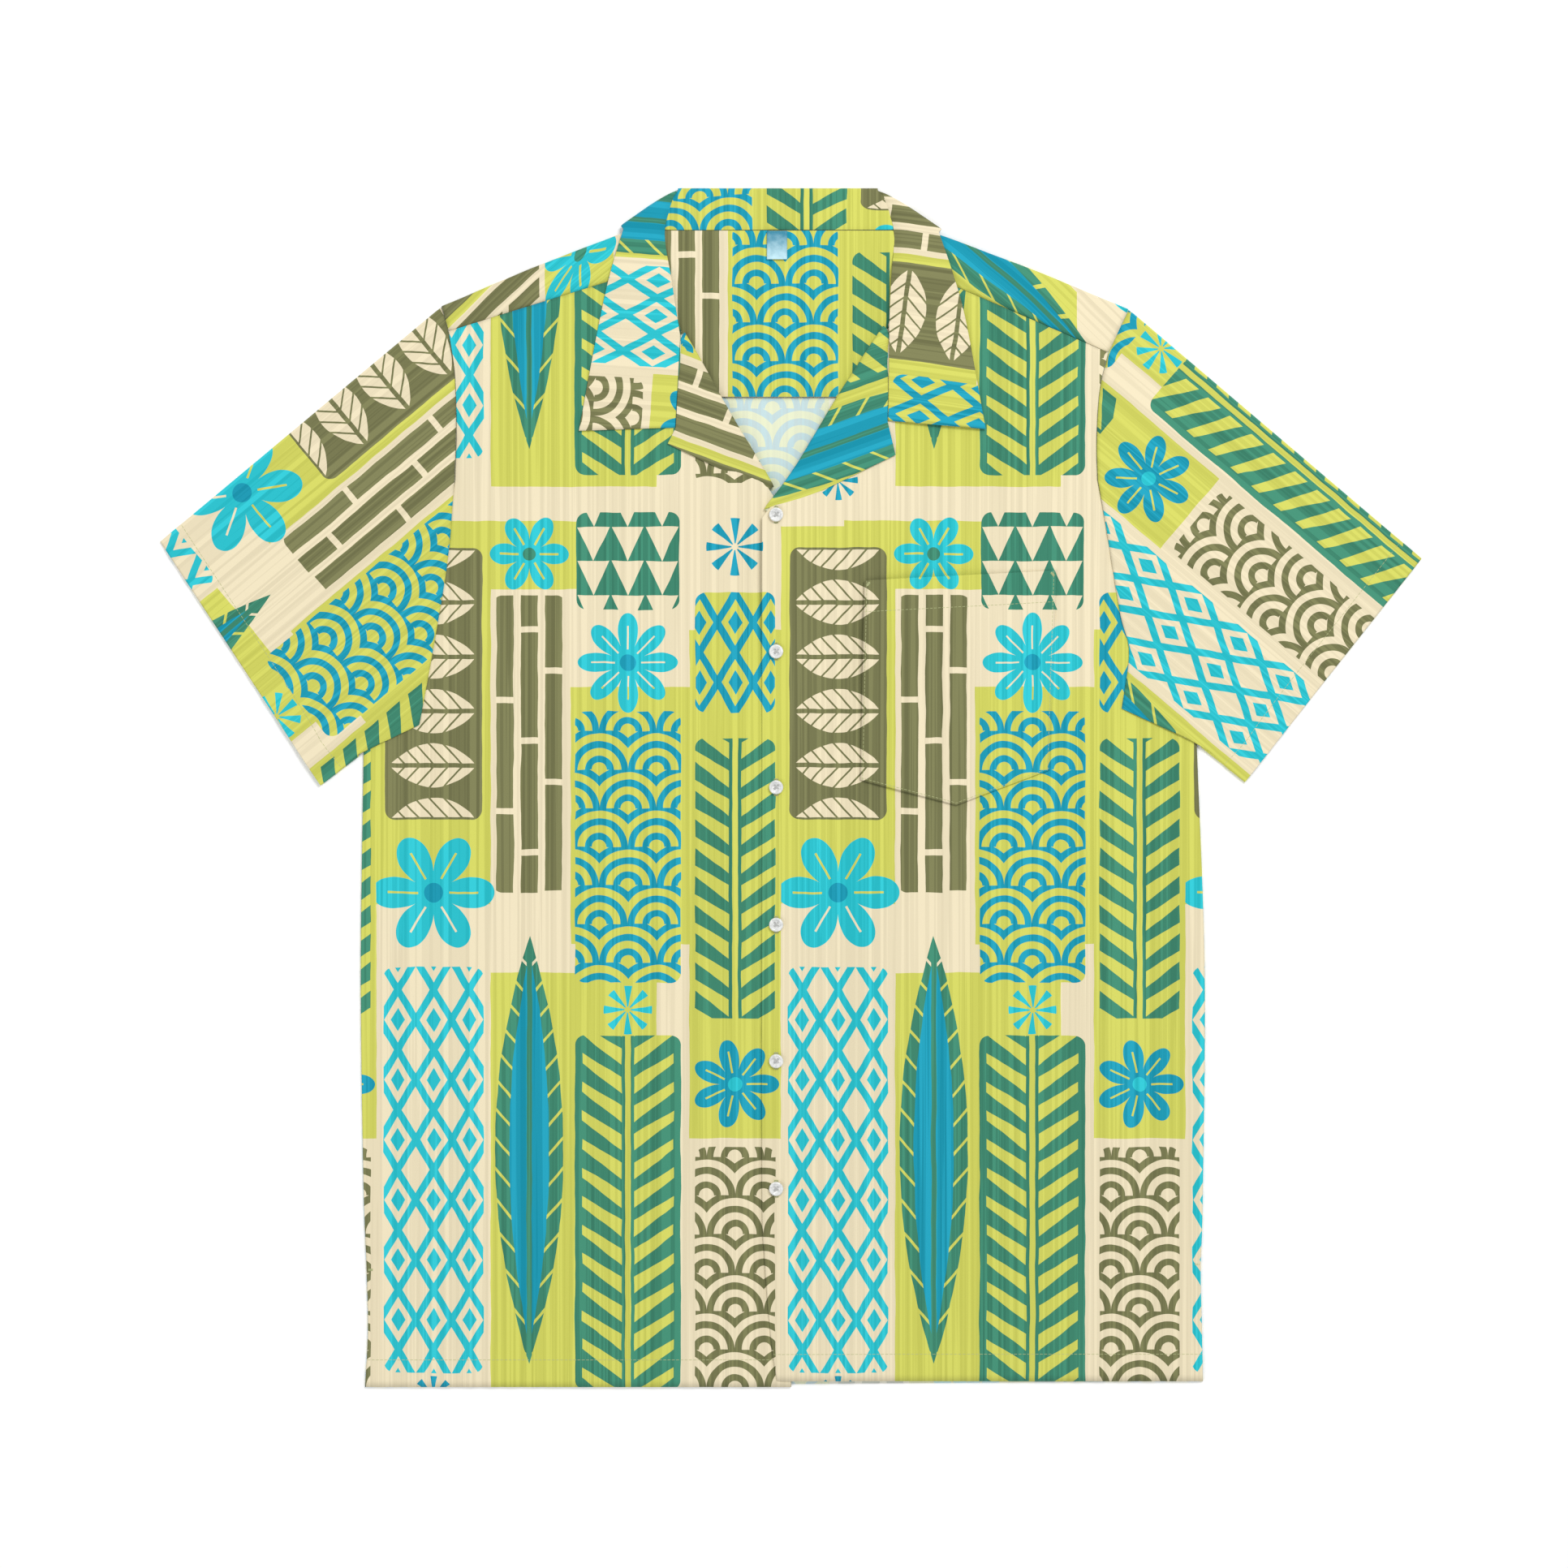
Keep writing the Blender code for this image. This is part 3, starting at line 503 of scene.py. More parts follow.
def cut_of(grids):
    """Flat width, length and area of grids in mm, as metres: the longest line across, the longest up, the
    sum of the faces and no more than width by length."""
    width = max(arc_lengths(grid, 1).max() for grid in grids) * MM
    length = max(arc_lengths(grid, 0).max() for grid in grids) * MM
    area = 0.0
    for grid in grids:
        one = np.cross(grid[:-1, 1:] - grid[:-1, :-1], grid[1:, :-1] - grid[:-1, :-1])
        other = np.cross(grid[1:, :-1] - grid[1:, 1:], grid[:-1, 1:] - grid[1:, 1:])
        area += (np.linalg.norm(one, axis=2).sum() + np.linalg.norm(other, axis=2).sum()) / 2 * MM**2
    return (width, length), min(area, width * length)


def make_cloth(
    name, node, sheets, printed_up=True, finishes=(printed, wrong_side),
    whole=None,
):
    """Thin shell in place of a node, from grids of points in mm with their places on the cut in m. The upper
    side of the first grid is the printed one if printed_up. Grids that share an edge are welded. The cut is
    measured on them, or on the whole where that is given."""
    points = np.vstack([grid.reshape(-1, 3) for grid, _ in sheets]) * MM
    cuts = np.vstack([cut.reshape(-1, 2) for _, cut in sheets])
    faces = []
    first = 0
    for grid, _ in sheets:
        rows, columns = grid.shape[:2]
        index = first + np.arange(rows * columns).reshape(rows, columns)
        corners = [index[:-1, :-1], index[:-1, 1:], index[1:, 1:], index[1:, :-1]]
        faces.append(np.stack(corners, axis=-1).reshape(-1, 4))
        first += rows * columns
    faces = np.vstack(faces)
    grid = sheets[0][0]
    upwards = np.cross(grid[:-1, 1:] - grid[:-1, :-1], grid[1:, :-1] - grid[:-1, :-1])[..., 2].sum() > 0
    if upwards != printed_up:
        faces = faces[:, ::-1]
    mesh = bpy.data.meshes.new(name)
    mesh.from_pydata(points.tolist(), [], faces.tolist())
    mesh.uv_layers.new(name="cut").data.foreach_set("uv", cuts[faces.ravel()].ravel())
    welded = bmesh.new()
    welded.from_mesh(mesh)
    bmesh.ops.remove_doubles(welded, verts=welded.verts, dist=0.00002)
    welded.to_mesh(mesh)
    welded.free()
    mesh.shade_smooth()
    for finish in finishes:
        mesh.materials.append(finish)
    cloth = placed(name, mesh)
    thicken = cloth.modifiers.new("wall", "SOLIDIFY")
    thicken.thickness = WALL * MM
    thicken.offset = 0.0
    thicken.material_offset = 1
    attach(cloth, "root")
    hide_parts(node)
    flat, area = cut_of([whole] if whole is not None else [grid for grid, _ in sheets])


def thread_finish(name, tint):
    """Cotton thread, with painted shade between its twisted strands: patches of noise darken it to 0.7 of its
    tint.
    """
    finish = Finish(name)
    place = finish.node("ShaderNodeTexCoord", {}, [], 3)
    strand_shade = finish.node("ShaderNodeTexNoise", {}, {"Vector": place, "Scale": 1800.0, "Detail": 1.0})
    # Painted shade: noise darkens the thread to 0.7 of its tint, standing in for shade between its strands
    finish.feed("Base Color", finish.blend(strand_shade, tuple(0.7 * part for part in tint), tint))
    finish.fix({"Roughness": 0.7})
    return finish.material


def line_at(grid, axis, distance, far=False, lift=WALL / 2):
    """A line on the upper face of a grid, at a distance from one of its edges."""
    reach = from_edge(grid, axis, far)
    lines = grid if axis == 1 else turned(grid)
    reach = reach if axis == 1 else reach.T
    if far:
        lines = lines[:, ::-1]
        reach = reach[:, ::-1]
    after = np.argmax(reach > distance, axis=1)
    row = np.arange(len(lines))
    share = (distance - reach[row, after - 1]) / (reach[row, after] - reach[row, after - 1])
    on_line = lines[row, after - 1] * (1 - share[:, None]) + lines[row, after] * share[:, None]
    return on_line + (0.0, 0.0, lift)


def thread_bars(name, middles, ways, length, thickness, finish):
    """Short round threads with pointed ends, all one mesh: rings of r = (0.35, 1, 1, 0.35) along each."""
    stations_on = np.array([-0.5, -0.36, 0.36, 0.5]) * length
    radii = np.array([0.35, 1.0, 1.0, 0.35]) * thickness / 2
    angle = np.linspace(0.0, 2 * math.pi, THREAD_SIDES, endpoint=False)
    ways = ways / np.linalg.norm(ways, axis=1)[:, None]
    beside = np.column_stack([-ways[:, 1], ways[:, 0], np.zeros(len(ways))])
    beside /= np.linalg.norm(beside, axis=1)[:, None]
    above = np.cross(ways, beside)
    ring = (
        beside[:, None, None] * (radii[:, None] * np.cos(angle))[None, ..., None]
        + above[:, None, None] * (radii[:, None] * np.sin(angle))[None, ..., None]
    )
    points = middles[:, None, None] + ways[:, None, None] * stations_on[None, :, None, None] + ring
    index = np.arange(4 * THREAD_SIDES).reshape(4, THREAD_SIDES)
    following = np.roll(index, -1, axis=1)
    sides = np.stack([index[:-1], following[:-1], following[1:], index[1:]], axis=-1).reshape(-1, 4)
    start = np.arange(len(middles))[:, None, None] * 4 * THREAD_SIDES
    faces = (sides[None] + start).reshape(-1, 4).tolist()
    for cap in (index[0, ::-1], index[-1]):
        faces += (cap[None] + start[:, 0]).tolist()
    mesh = bpy.data.meshes.new(name)
    mesh.from_pydata((points.reshape(-1, 3) * MM).tolist(), [], faces)
    mesh.shade_smooth()
    mesh.materials.append(finish)
    threads = placed(name, mesh)
    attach(threads, "root")
    return threads


def sewn(name, lines, spacing=3.0, stitch=2.3, thickness=0.34):
    """Running stitches along lines on the cloth, evenly spaced by length."""
    middles = []
    ways = []
    for line in lines:
        length = np.linalg.norm(np.diff(line, axis=0), axis=1).sum()
        places = along(line, 2 * int(length / spacing) + 1)
        middles.append(places[1:-1:2])
        ways.append(places[2::2] - places[:-2:2])
    return thread_bars(name, np.vstack(middles), np.vstack(ways), stitch, thickness, thread)


thread = thread_finish("lime_thread", LIME_THREAD)
back_flat = between(
    joined((SIDE_RIGHT, 15), (ARMHOLE_BACK_RIGHT, 11)), joined((SIDE_LEFT, 15), (ARMHOLE_BACK_LEFT, 11)),
    stations(13),
)
back_grid = laid(back_flat, SOLID_WALL / 2 + creases(back_flat, BACK_CREASES))
back_cut = back_flat * (-MM, MM) + (0.163, 0.16)
back_hem = sewn("back_hem_stitches", [line_at(back_grid, 0, HEM_DEPTH, lift=-WALL / 2)])
make_cloth("back_panel", "back", [(back_grid, back_cut)], printed_up=False)

# ----------------------------------------
# Yoke. It lies under the back of the neck, comes round both shoulders in a soft fold and is sewn to the
# fronts; its streaks run along the shoulders. Its facing is sewn inside it.

SHOULDER_RIGHT = [(-244.1, 335.6), (-180.0, 361.6), (-104.0, 391.0)]
SHOULDER_LEFT = [(236.0, 333.6), (170.0, 359.6), (94.0, 388.4)]
YOKE_SEAM_RIGHT = [(-239.4, 319.0), (-100.0, 361.5)]
YOKE_SEAM_LEFT = [(222.0, 303.8), (86.0, 362.0)]
YOKE_NECK = [(-104.0, 391.0), (-88.0, 389.2), (-8.0, 388.6), (72.0, 389.2), (94.0, 388.4)]
YOKE_FACING_SEAM = [(-92.0, 389.2), (76.0, 389.2)]
YOKE_FACING_HEM = [(-150.0, 272.9), (140.0, 272.9)]
SEAM_GAP = 0.3
FOLD_STEPS = 5
LATTICE = 5.0


def moved_in(curve, distance):
    """The curve moved sideways to its left-hand side."""
    points = np.array(curve, dtype=float)
    direction = np.gradient(points, axis=0)
    direction /= np.linalg.norm(direction, axis=1)[:, None]
    return points + distance * np.column_stack([-direction[:, 1], direction[:, 0]])


def outward_of(edge, side):
    """Unit vectors in the plane of the table, square to an edge, on its left (1) or right (-1)."""
    direction = np.gradient(edge[:, :2], axis=0)
    direction /= np.linalg.norm(direction, axis=1)[:, None]
    return side * np.column_stack([-direction[:, 1], direction[:, 0], np.zeros(len(edge))])


def fold(lower_edge, upper_edge, outward):
    """Rows of a round fold from one edge to the one above it: m - h cos(a) + o |h| sin(a), with the middle m
    of the edges, half h of the step between them, and the unit way out o."""
    middle = (lower_edge + upper_edge)[None] / 2
    half = (upper_edge - lower_edge)[None] / 2
    bulge = outward[None] * np.linalg.norm(half, axis=2)[..., None]
    angle = np.linspace(0.0, math.pi, FOLD_STEPS + 2)[1:-1, None, None]
    return middle - half * np.cos(angle) + bulge * np.sin(angle)


def blurred(field, cells):
    """Each cell takes the mean of those within a number of cells, along both axes in turn."""
    for axis in (0, 1):
        shifts = [np.roll(field, shift, axis) for shift in range(-cells, cells + 1)]
        field = np.mean(shifts, axis=0)
    return field


def lie_of(node, from_above=True, soften=2):
    """Height of the middle of a solid's wall as a function of a flat grid: rays down, or up, on an even
    lattice, the mean of the hits around each place, and a straight blend between the places."""
    low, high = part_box(node)
    tree = BVHTree.FromObject(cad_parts[node], bpy.context.evaluated_depsgraph_get())
    xs = np.arange(low.x / MM - 6 * LATTICE, high.x / MM + 6 * LATTICE, LATTICE)
    ys = np.arange(low.y / MM - 6 * LATTICE, high.y / MM + 6 * LATTICE, LATTICE)
    way = Vector((0.0, 0.0, -1.0 if from_above else 1.0))
    start = high.z + 1.0 if from_above else low.z - 1.0

    def struck(x, y):
        """The height at which a ray meets the solid, or no number where it meets nothing."""
        place = tree.ray_cast(Vector((x * MM, y * MM, start)), way)[0]
        return np.nan if place is None else place.z / MM

    hits = np.array([[struck(x, y) for x in xs] for y in ys])
    there = np.where(np.isnan(hits), 0.0, 1.0)
    total = np.where(np.isnan(hits), 0.0, hits)
    for _ in range(2):
        there = blurred(there, soften)
        total = blurred(total, soften)
    mean = total.sum() / there.sum()
    field = np.where(there > 1e-6, total / np.maximum(there, 1e-6), mean)
    half = SOLID_WALL / 2 if from_above else -SOLID_WALL / 2

    def height(grid):
        """The four nearest places, blended by how near they are."""
        place_x = np.clip((grid[..., 0] - xs[0]) / LATTICE, 0.0, len(xs) - 1.001)
        place_y = np.clip((grid[..., 1] - ys[0]) / LATTICE, 0.0, len(ys) - 1.001)
        column = place_x.astype(int)
        row = place_y.astype(int)
        right = place_x - column
        up = place_y - row
        lower = field[row, column] * (1 - right) + field[row, column + 1] * right
        upper = field[row + 1, column] * (1 - right) + field[row + 1, column + 1] * right
        return lower * (1 - up) + upper * up - half

    return height


def turned_in(distance, depth=0.45, width=1.3):
    """How far cloth dips where it turns into a seam: a soft round edge, d exp(-(distance / width)^2)."""
    return -depth * np.exp(-(distance / width) ** 2)


yoke_top = joined((SHOULDER_RIGHT, 8), (YOKE_NECK, 10), (SHOULDER_LEFT[::-1], 8))
yoke_foot_y = ARMHOLE_BACK_RIGHT[-1][1] + SEAM_GAP
yoke_bottom = np.column_stack([
    np.linspace(ARMHOLE_BACK_RIGHT[-1][0], ARMHOLE_BACK_LEFT[-1][0], len(yoke_top)),
    np.full(len(yoke_top), yoke_foot_y),
])
yoke_flat = turned(between(yoke_bottom, yoke_top, np.linspace(0.0, 1.0, finer(6))))
yoke_back = laid(yoke_flat, lie_of("yoke", from_above=False)(yoke_flat))
yoke_height = lie_of("yoke", soften=1)
strip_points = finer(8)


def shoulder_strip(shoulder, seam, back_edge):
    """The yoke from its back edge round the shoulder to the front seam."""
    flat = turned(between(along(shoulder, strip_points), along(seam, strip_points), stations(3, 0.02)))
    strip = laid(flat, yoke_height(flat) + turned_in(from_edge(flat, 0, far=True)))
    return np.concatenate([back_edge[None], fold(back_edge, strip[0], outward_of(back_edge, 1)), strip])


def yoke_cut(grid, rise):
    """The cut's width runs up the back and round the shoulders, and its length along them."""
    return np.dstack([rise * MM, grid[..., 0] * MM + 0.11])


over_right = shoulder_strip(SHOULDER_RIGHT, moved_in(YOKE_SEAM_RIGHT, SEAM_GAP), yoke_back[-1, :strip_points])
over_left = shoulder_strip(
    SHOULDER_LEFT[::-1], moved_in(YOKE_SEAM_LEFT[::-1], SEAM_GAP), yoke_back[-1, -strip_points:]
)
yoke_rise = arc_lengths(yoke_back, 0)
yoke_sheets = [
    (yoke_back, yoke_cut(yoke_back, yoke_rise)),
    (over_right, yoke_cut(over_right, arc_lengths(over_right, 0) + yoke_rise[-1:, :strip_points])),
    (over_left, yoke_cut(over_left, arc_lengths(over_left, 0) + yoke_rise[-1:, -strip_points:])),
]
make_cloth("yoke_cloth", "yoke", yoke_sheets, printed_up=False)

facing_edges = [along(edge, finer(13)) for edge in (YOKE_FACING_HEM, YOKE_FACING_SEAM)]
facing_flat = turned(between(*facing_edges, stations(6)))
facing_height = lie_of("yoke_facing")(facing_flat) + turned_in(from_edge(facing_flat, 0), 0.6, 2.0)
facing_height += turned_in(from_edge(facing_flat, 0, far=True), 0.5, 1.6)
facing_sheet = (laid(facing_flat, facing_height), facing_flat * MM + (0.18, 0.10))
make_cloth("yoke_facing_cloth", "yoke_facing", [facing_sheet])

# ----------------------------------------
# Fronts. Two panels from the hem to the yoke seam, the wearer's left over the right where they button.
# Their edges are turned in, the hems stitched and the vents tacked; a slight pull runs from the top button.

UNDERARM_RIGHT = [(-299.0, 25.0), (-284.0, 70.0), (-262.0, 120.0), (-244.0, 170.0), (-235.0, 215.0)]
UNDERARM_LEFT = [(284.0, 32.0), (268.0, 72.0), (244.0, 120.0), (225.0, 170.0), (214.4, 215.0)]
ARMHOLE_RIGHT = [(-235.0, 215.0), (-234.0, 250.0), (-235.0, 288.0), (-239.4, 319.0)]
ARMHOLE_LEFT = [(214.4, 215.0), (213.8, 243.0), (216.0, 278.0), (222.0, 303.8)]
NECK_RIGHT = [(-76.6, 318.0), (-84.0, 340.0), (-100.0, 361.5)]
NECK_LEFT = [(67.8, 322.0), (75.0, 342.0), (86.0, 362.0)]
ROLL_RIGHT = [(-13.5, 209.0), (-42.0, 258.0), (-74.9, 317.0)]
ROLL_LEFT = [(-18.2, 193.8), (-0.4, 216.4), (30.0, 264.0), (66.0, 321.0)]
PLACKET_RIGHT = [(0.3, HEM_Y), (0.3, -200.0), (0.3, 25.0)]
PLACKET_RIGHT_TOP = [(0.3, 25.0), (0.3, 184.0)]
PLACKET_LEFT = [(-9.9, -415.8), (-14.0, -385.0), (-18.4, -330.0), (-20.2, -270.0), (-20.2, 30.0)]
PLACKET_LEFT_TOP = [(-20.2, 30.0), (-20.2, 188.0)]
LAPEL_SLACK = 2.0
LEFT_HEM_RISE = 4.0

FRONT_CREASES = (
    # x, y, degrees, half-length, width, bend, rise
    (-214.0, -60.0, 86.0, 170.0, 13.0, 10.0, 0.55),
    (-168.0, -205.0, 95.0, 120.0, 10.0, -8.0, -0.45),
    (-108.0, 96.0, 78.0, 90.0, 9.0, 7.0, 0.45),
    (-190.0, 168.0, 64.0, 70.0, 8.0, -6.0, 0.5),
    (-246.0, -150.0, 88.0, 110.0, 8.0, 5.0, -0.4),
    (-70.0, -300.0, 99.0, 85.0, 9.0, 6.0, 0.4),
    (150.0, -190.0, 93.0, 150.0, 12.0, -9.0, 0.55),
    (214.0, -40.0, 96.0, 150.0, 11.0, 8.0, 0.5),
    (92.0, 120.0, 101.0, 80.0, 9.0, 6.0, 0.4),
    (60.0, -120.0, 87.0, 110.0, 9.0, -7.0, -0.4),
    (168.0, 190.0, 118.0, 60.0, 8.0, 5.0, 0.5),
    (245.0, -260.0, 91.0, 90.0, 8.0, -5.0, 0.4),
    # the pull below the top button
    (8.0, 176.0, -38.0, 26.0, 3.2, 2.0, 0.5),
    (14.0, 164.0, -52.0, 24.0, 2.8, 1.5, -0.35),
    # puckers above the vents
    (-290.0, -318.0, 62.0, 20.0, 2.4, 1.0, 0.6),
    (-291.0, -331.0, 48.0, 18.0, 2.2, -1.0, -0.4),
    (-289.0, -342.0, 30.0, 17.0, 2.4, 1.0, 0.5),
    (280.0, -320.0, 118.0, 18.0, 2.4, 1.0, 0.5),
    (281.0, -338.0, 142.0, 16.0, 2.2, -1.0, 0.4),
)


def hemmed(up):
    """Height of a turned-up hem: one more layer below the stitch line, and the dint of the stitches."""
    layer = 0.28 / (1.0 + np.exp(np.clip((up - HEM_DEPTH) / 0.7, -40.0, 40.0)))
    return layer - 0.22 * np.exp(-((up - HEM_DEPTH) / 1.5) ** 2)


def puckers(distance, run, depth=0.22, reach=9.0, seed=0.0):
    """Small uneven waves beside a seam: d exp(-distance / reach) sin(s / 2.9 + 3 sin(s / 31)) sin(s / 47), by
    the run s along it."""
    wave = np.sin(run / 2.9 + 3.0 * np.sin(run / 31.0 + seed)) * np.sin(run / 47.0 + 2.0 * seed)
    return depth * np.exp(-distance / reach) * wave


def bartacks(name, grid, places):
    """Short bars of close stitches set across a line, each given by x, y and the line's degrees."""
    middles = []
    ways = []
    for x, y, degrees in places:
        turn = math.radians(degrees)
        for step in np.arange(-4, 5) * 0.36:
            spot = np.array([x + step * math.cos(turn), y + step * math.sin(turn)])
            away = np.linalg.norm(grid[..., :2] - spot, axis=2)
            height = grid[..., 2].ravel()[away.argmin()] + WALL / 2
            middles.append((*spot, height))
            ways.append((-math.sin(turn), math.cos(turn), 0.0))
    return thread_bars(name, np.array(middles), np.array(ways), 1.7, 0.34, thread)


def front_sheet(node, placket, placket_top, roll, neck, side, underarm, armhole, slack, hem_y):
    """A front from its front edge to its side, turned in all round and creased."""
    opening = moved_in(roll, slack)
    flat = between(
        joined(
            (placket, 15), (placket_top, 5), ([placket_top[-1], opening[0]], 2),
            ([*opening, neck[0]], 5), (neck, 3),
        ),
        joined((side, 15), (underarm, 7), (armhole, 6)),
        stations(13),
    )
    height = lie_of(node)(flat) + creases(flat, FRONT_CREASES) + hemmed(flat[..., 1] - hem_y)
    for axis, far in ((0, False), (0, True), (1, False), (1, True)):
        edge = from_edge(flat, axis, far)
        height += turned_in(edge, 0.3) + puckers(edge, from_edge(flat, 1 - axis), seed=1.7 * axis + far)
    return laid(flat, height)


def corner_roll(grid, corner, radius=7.0, depth=0.7):
    """How far a corner rolls under: -d exp(-(r / radius)^2) by the distance r from it."""
    away = (grid[..., 0] - corner[0]) ** 2 + (grid[..., 1] - corner[1]) ** 2
    return -depth * np.exp(-away / radius**2)


def front_cut(grid):
    """The fronts are cut along the grain, and the print of one carries on in the other."""
    return grid[..., :2] * MM + (0.29, 0.44)


front_right_grid = front_sheet(
    "front_right", PLACKET_RIGHT, PLACKET_RIGHT_TOP, ROLL_RIGHT, NECK_RIGHT, SIDE_RIGHT, UNDERARM_RIGHT,
    ARMHOLE_RIGHT, LAPEL_SLACK, HEM_Y,
)
right_hem = sewn("right_hem_stitches", [line_at(front_right_grid, 0, HEM_DEPTH)])
right_tack = bartacks("right_vent_bartack", front_right_grid, [(-294.2, -338.0, 0.0)])
make_cloth(
    "front_right_cloth", "front_right", [(front_right_grid, front_cut(front_right_grid))],
)
front_left_grid = front_sheet(
    "front_left", PLACKET_LEFT, PLACKET_LEFT_TOP, ROLL_LEFT, NECK_LEFT, SIDE_LEFT, UNDERARM_LEFT,
    ARMHOLE_LEFT, -LAPEL_SLACK, HEM_Y + LEFT_HEM_RISE,
)
front_left_grid[..., 2] += corner_roll(front_left_grid, (-10.0, -416.0))
left_hem = sewn("left_hem_stitches", [line_at(front_left_grid, 0, HEM_DEPTH)])
left_tack = bartacks("left_vent_bartack", front_left_grid, [(284.4, -334.0, 0.0)])
placket_height = lie_of("front_left")
make_cloth(
    "front_left_cloth", "front_left", [(front_left_grid, front_cut(front_left_grid))],
)

# ----------------------------------------
# Lapels. The facings turn out over the fronts at the roll line, in a soft round fold, with their streaks
# running across. Their outer edges are seamed and pressed, with a notch below the collar.

LAPEL_EDGE_RIGHT = [(-17.0, 206.6), (-86.1, 239.6)]
LAPEL_EDGE_LEFT = [(-13.8, 195.4), (-7.0, 197.0), (16.2, 204.4), (73.0, 231.6)]
LAPEL_NOTCH_RIGHT = [(-86.1, 239.6), (-80.4, 250.9)]
LAPEL_NOTCH_LEFT = [(73.0, 231.6), (67.4, 255.5)]
GORGE_RIGHT = [(-80.4, 250.9), (-77.0, 313.0)]
GORGE_LEFT = [(67.4, 255.5), (68.4, 317.0)]
LAPEL_TURN_UNDER = 24.0

LAPEL_CREASES = (
    # x, y, degrees, half-length, width, bend, rise
    (-48.0, 240.0, -25.0, 30.0, 4.0, 1.5, 0.35),
    (-60.0, 252.0, -27.0, 26.0, 5.0, -1.0, -0.3),
    (34.0, 226.0, 24.0, 30.0, 4.0, 1.5, 0.35),
    (46.0, 246.0, 40.0, 28.0, 5.0, 2.0, -0.3),
)


def lapel(node, roll, turned_under, edge, side):
    """A facing: the part under the front, the round roll, and the lapel over the front."""
    under_flat = between(turned_under, roll, np.linspace(0.0, 1.0, finer(3)))
    under = laid(under_flat, lie_of(node, from_above=False, soften=1)(under_flat))
    over_flat = between(roll, edge, stations(6, 0.012))
    height = lie_of(node, soften=1)(over_flat) + creases(over_flat, LAPEL_CREASES)
    hem_reach = from_edge(over_flat, 1, far=True)
    height += turned_in(hem_reach, 0.35) + turned_in(from_edge(over_flat, 0), 0.35)
    height += turned_in(hem_reach - 5.5, 0.13, 1.0)
    over = laid(over_flat, height)
    roll_fold = turned(fold(under[:, -1], over[:, 0], outward_of(under[:, -1], side)))
    return np.concatenate([under, roll_fold, over], axis=1)


def turned_cut(grid, degrees, offset):
    """Streaks run at an angle a to the shirt's width: p = y cos(a) - x sin(a) and q = x cos(a) + y sin(a)."""
    across = math.cos(math.radians(degrees))
    up = math.sin(math.radians(degrees))
    x = grid[..., 0]
    y = grid[..., 1]
    return np.dstack([y * across - x * up, x * across + y * up]) * MM + offset


roll_right = along(ROLL_RIGHT, finer(9))
roll_left = along(ROLL_LEFT, finer(11))
lapel_right_grid = lapel(
    "facing_right", roll_right, moved_in(roll_right, LAPEL_TURN_UNDER),
    joined((LAPEL_EDGE_RIGHT, 4), (LAPEL_NOTCH_RIGHT, 2), (GORGE_RIGHT, 5)), -1,
)
lapel_left_grid = lapel(
    "facing_left", roll_left, moved_in(roll_left, -LAPEL_TURN_UNDER),
    joined((LAPEL_EDGE_LEFT, 5), (LAPEL_NOTCH_LEFT, 3), (GORGE_LEFT, 5)), 1,
)
make_cloth(
    "lapel_right", "facing_right", [(lapel_right_grid, turned_cut(lapel_right_grid, -20.0, (-0.122, 0.602)))],
)
make_cloth(
    "lapel_left", "facing_left", [(lapel_left_grid, turned_cut(lapel_left_grid, 20.0, (-0.107, 0.071)))],
)

# ----------------------------------------
# Collar. A stand that shows inside the neck and rolls over at the top, and a fall whose two leaves lie on
# the fronts and wrap round the neck to the part that lies under the yoke.

LEAF_ROLL_RIGHT = [(-77.0, 313.0), (-83.0, 352.0), (-88.2, 389.0), (-79.8, 416.4)]
LEAF_ROLL_LEFT = [(68.4, 317.0), (70.0, 354.0), (71.9, 390.2), (61.6, 416.4)]
LEAF_EDGE_RIGHT = [(-148.1, 248.7), (-135.0, 319.2), (-126.5, 357.8), (-117.0, 389.8)]
LEAF_EDGE_LEFT = [(136.1, 249.8), (122.5, 323.7), (114.0, 356.0), (103.4, 387.4)]
LEAF_WRAP_RIGHT = [(-79.8, 416.4), (-99.0, 404.0), (-117.0, 389.8)]
LEAF_WRAP_LEFT = [(61.6, 416.4), (86.0, 402.4), (103.4, 387.4)]
FALL_ROLL = [(-79.8, 416.4), (61.6, 416.4)]
FALL_EDGE = [(-117.0, 389.8), (-62.0, 364.0), (-8.0, 357.0), (48.0, 363.0), (103.4, 387.4)]
STAND_SEAM = [(-96.0, 391.4), (-86.0, 389.7), (-8.0, 389.7), (70.0, 389.9), (86.0, 391.4)]
STAND_ROLL = [(-79.0, 417.4), (60.8, 417.4)]
EDGE_GAP = 0.4

COLLAR_CREASES = (
    # x, y, degrees, half-length, width, bend, rise
    (-112.0, 330.0, 96.0, 60.0, 6.0, 3.0, 0.4),
    (-118.0, 276.0, 20.0, 30.0, 5.0, 2.0, -0.3),
    (98.0, 336.0, 84.0, 60.0, 6.0, -3.0, 0.4),
    (112.0, 280.0, -14.0, 30.0, 5.0, -2.0, -0.3),
)
collar_height = lie_of("collar_fall", soften=1)
leaf_stations = stations(5, 0.012)
fall_behind_flat = between(along(FALL_ROLL, finer(11)), along(FALL_EDGE, finer(11)), leaf_stations)
for row, wrap in ((0, LEAF_WRAP_RIGHT), (-1, LEAF_WRAP_LEFT)):
    fall_behind_flat[row] = between(np.array(wrap[:1]), np.array(wrap[-1:]), leaf_stations)[0]
fall_behind = laid(fall_behind_flat, np.full(fall_behind_flat.shape[:2], SOLID_WALL / 2))


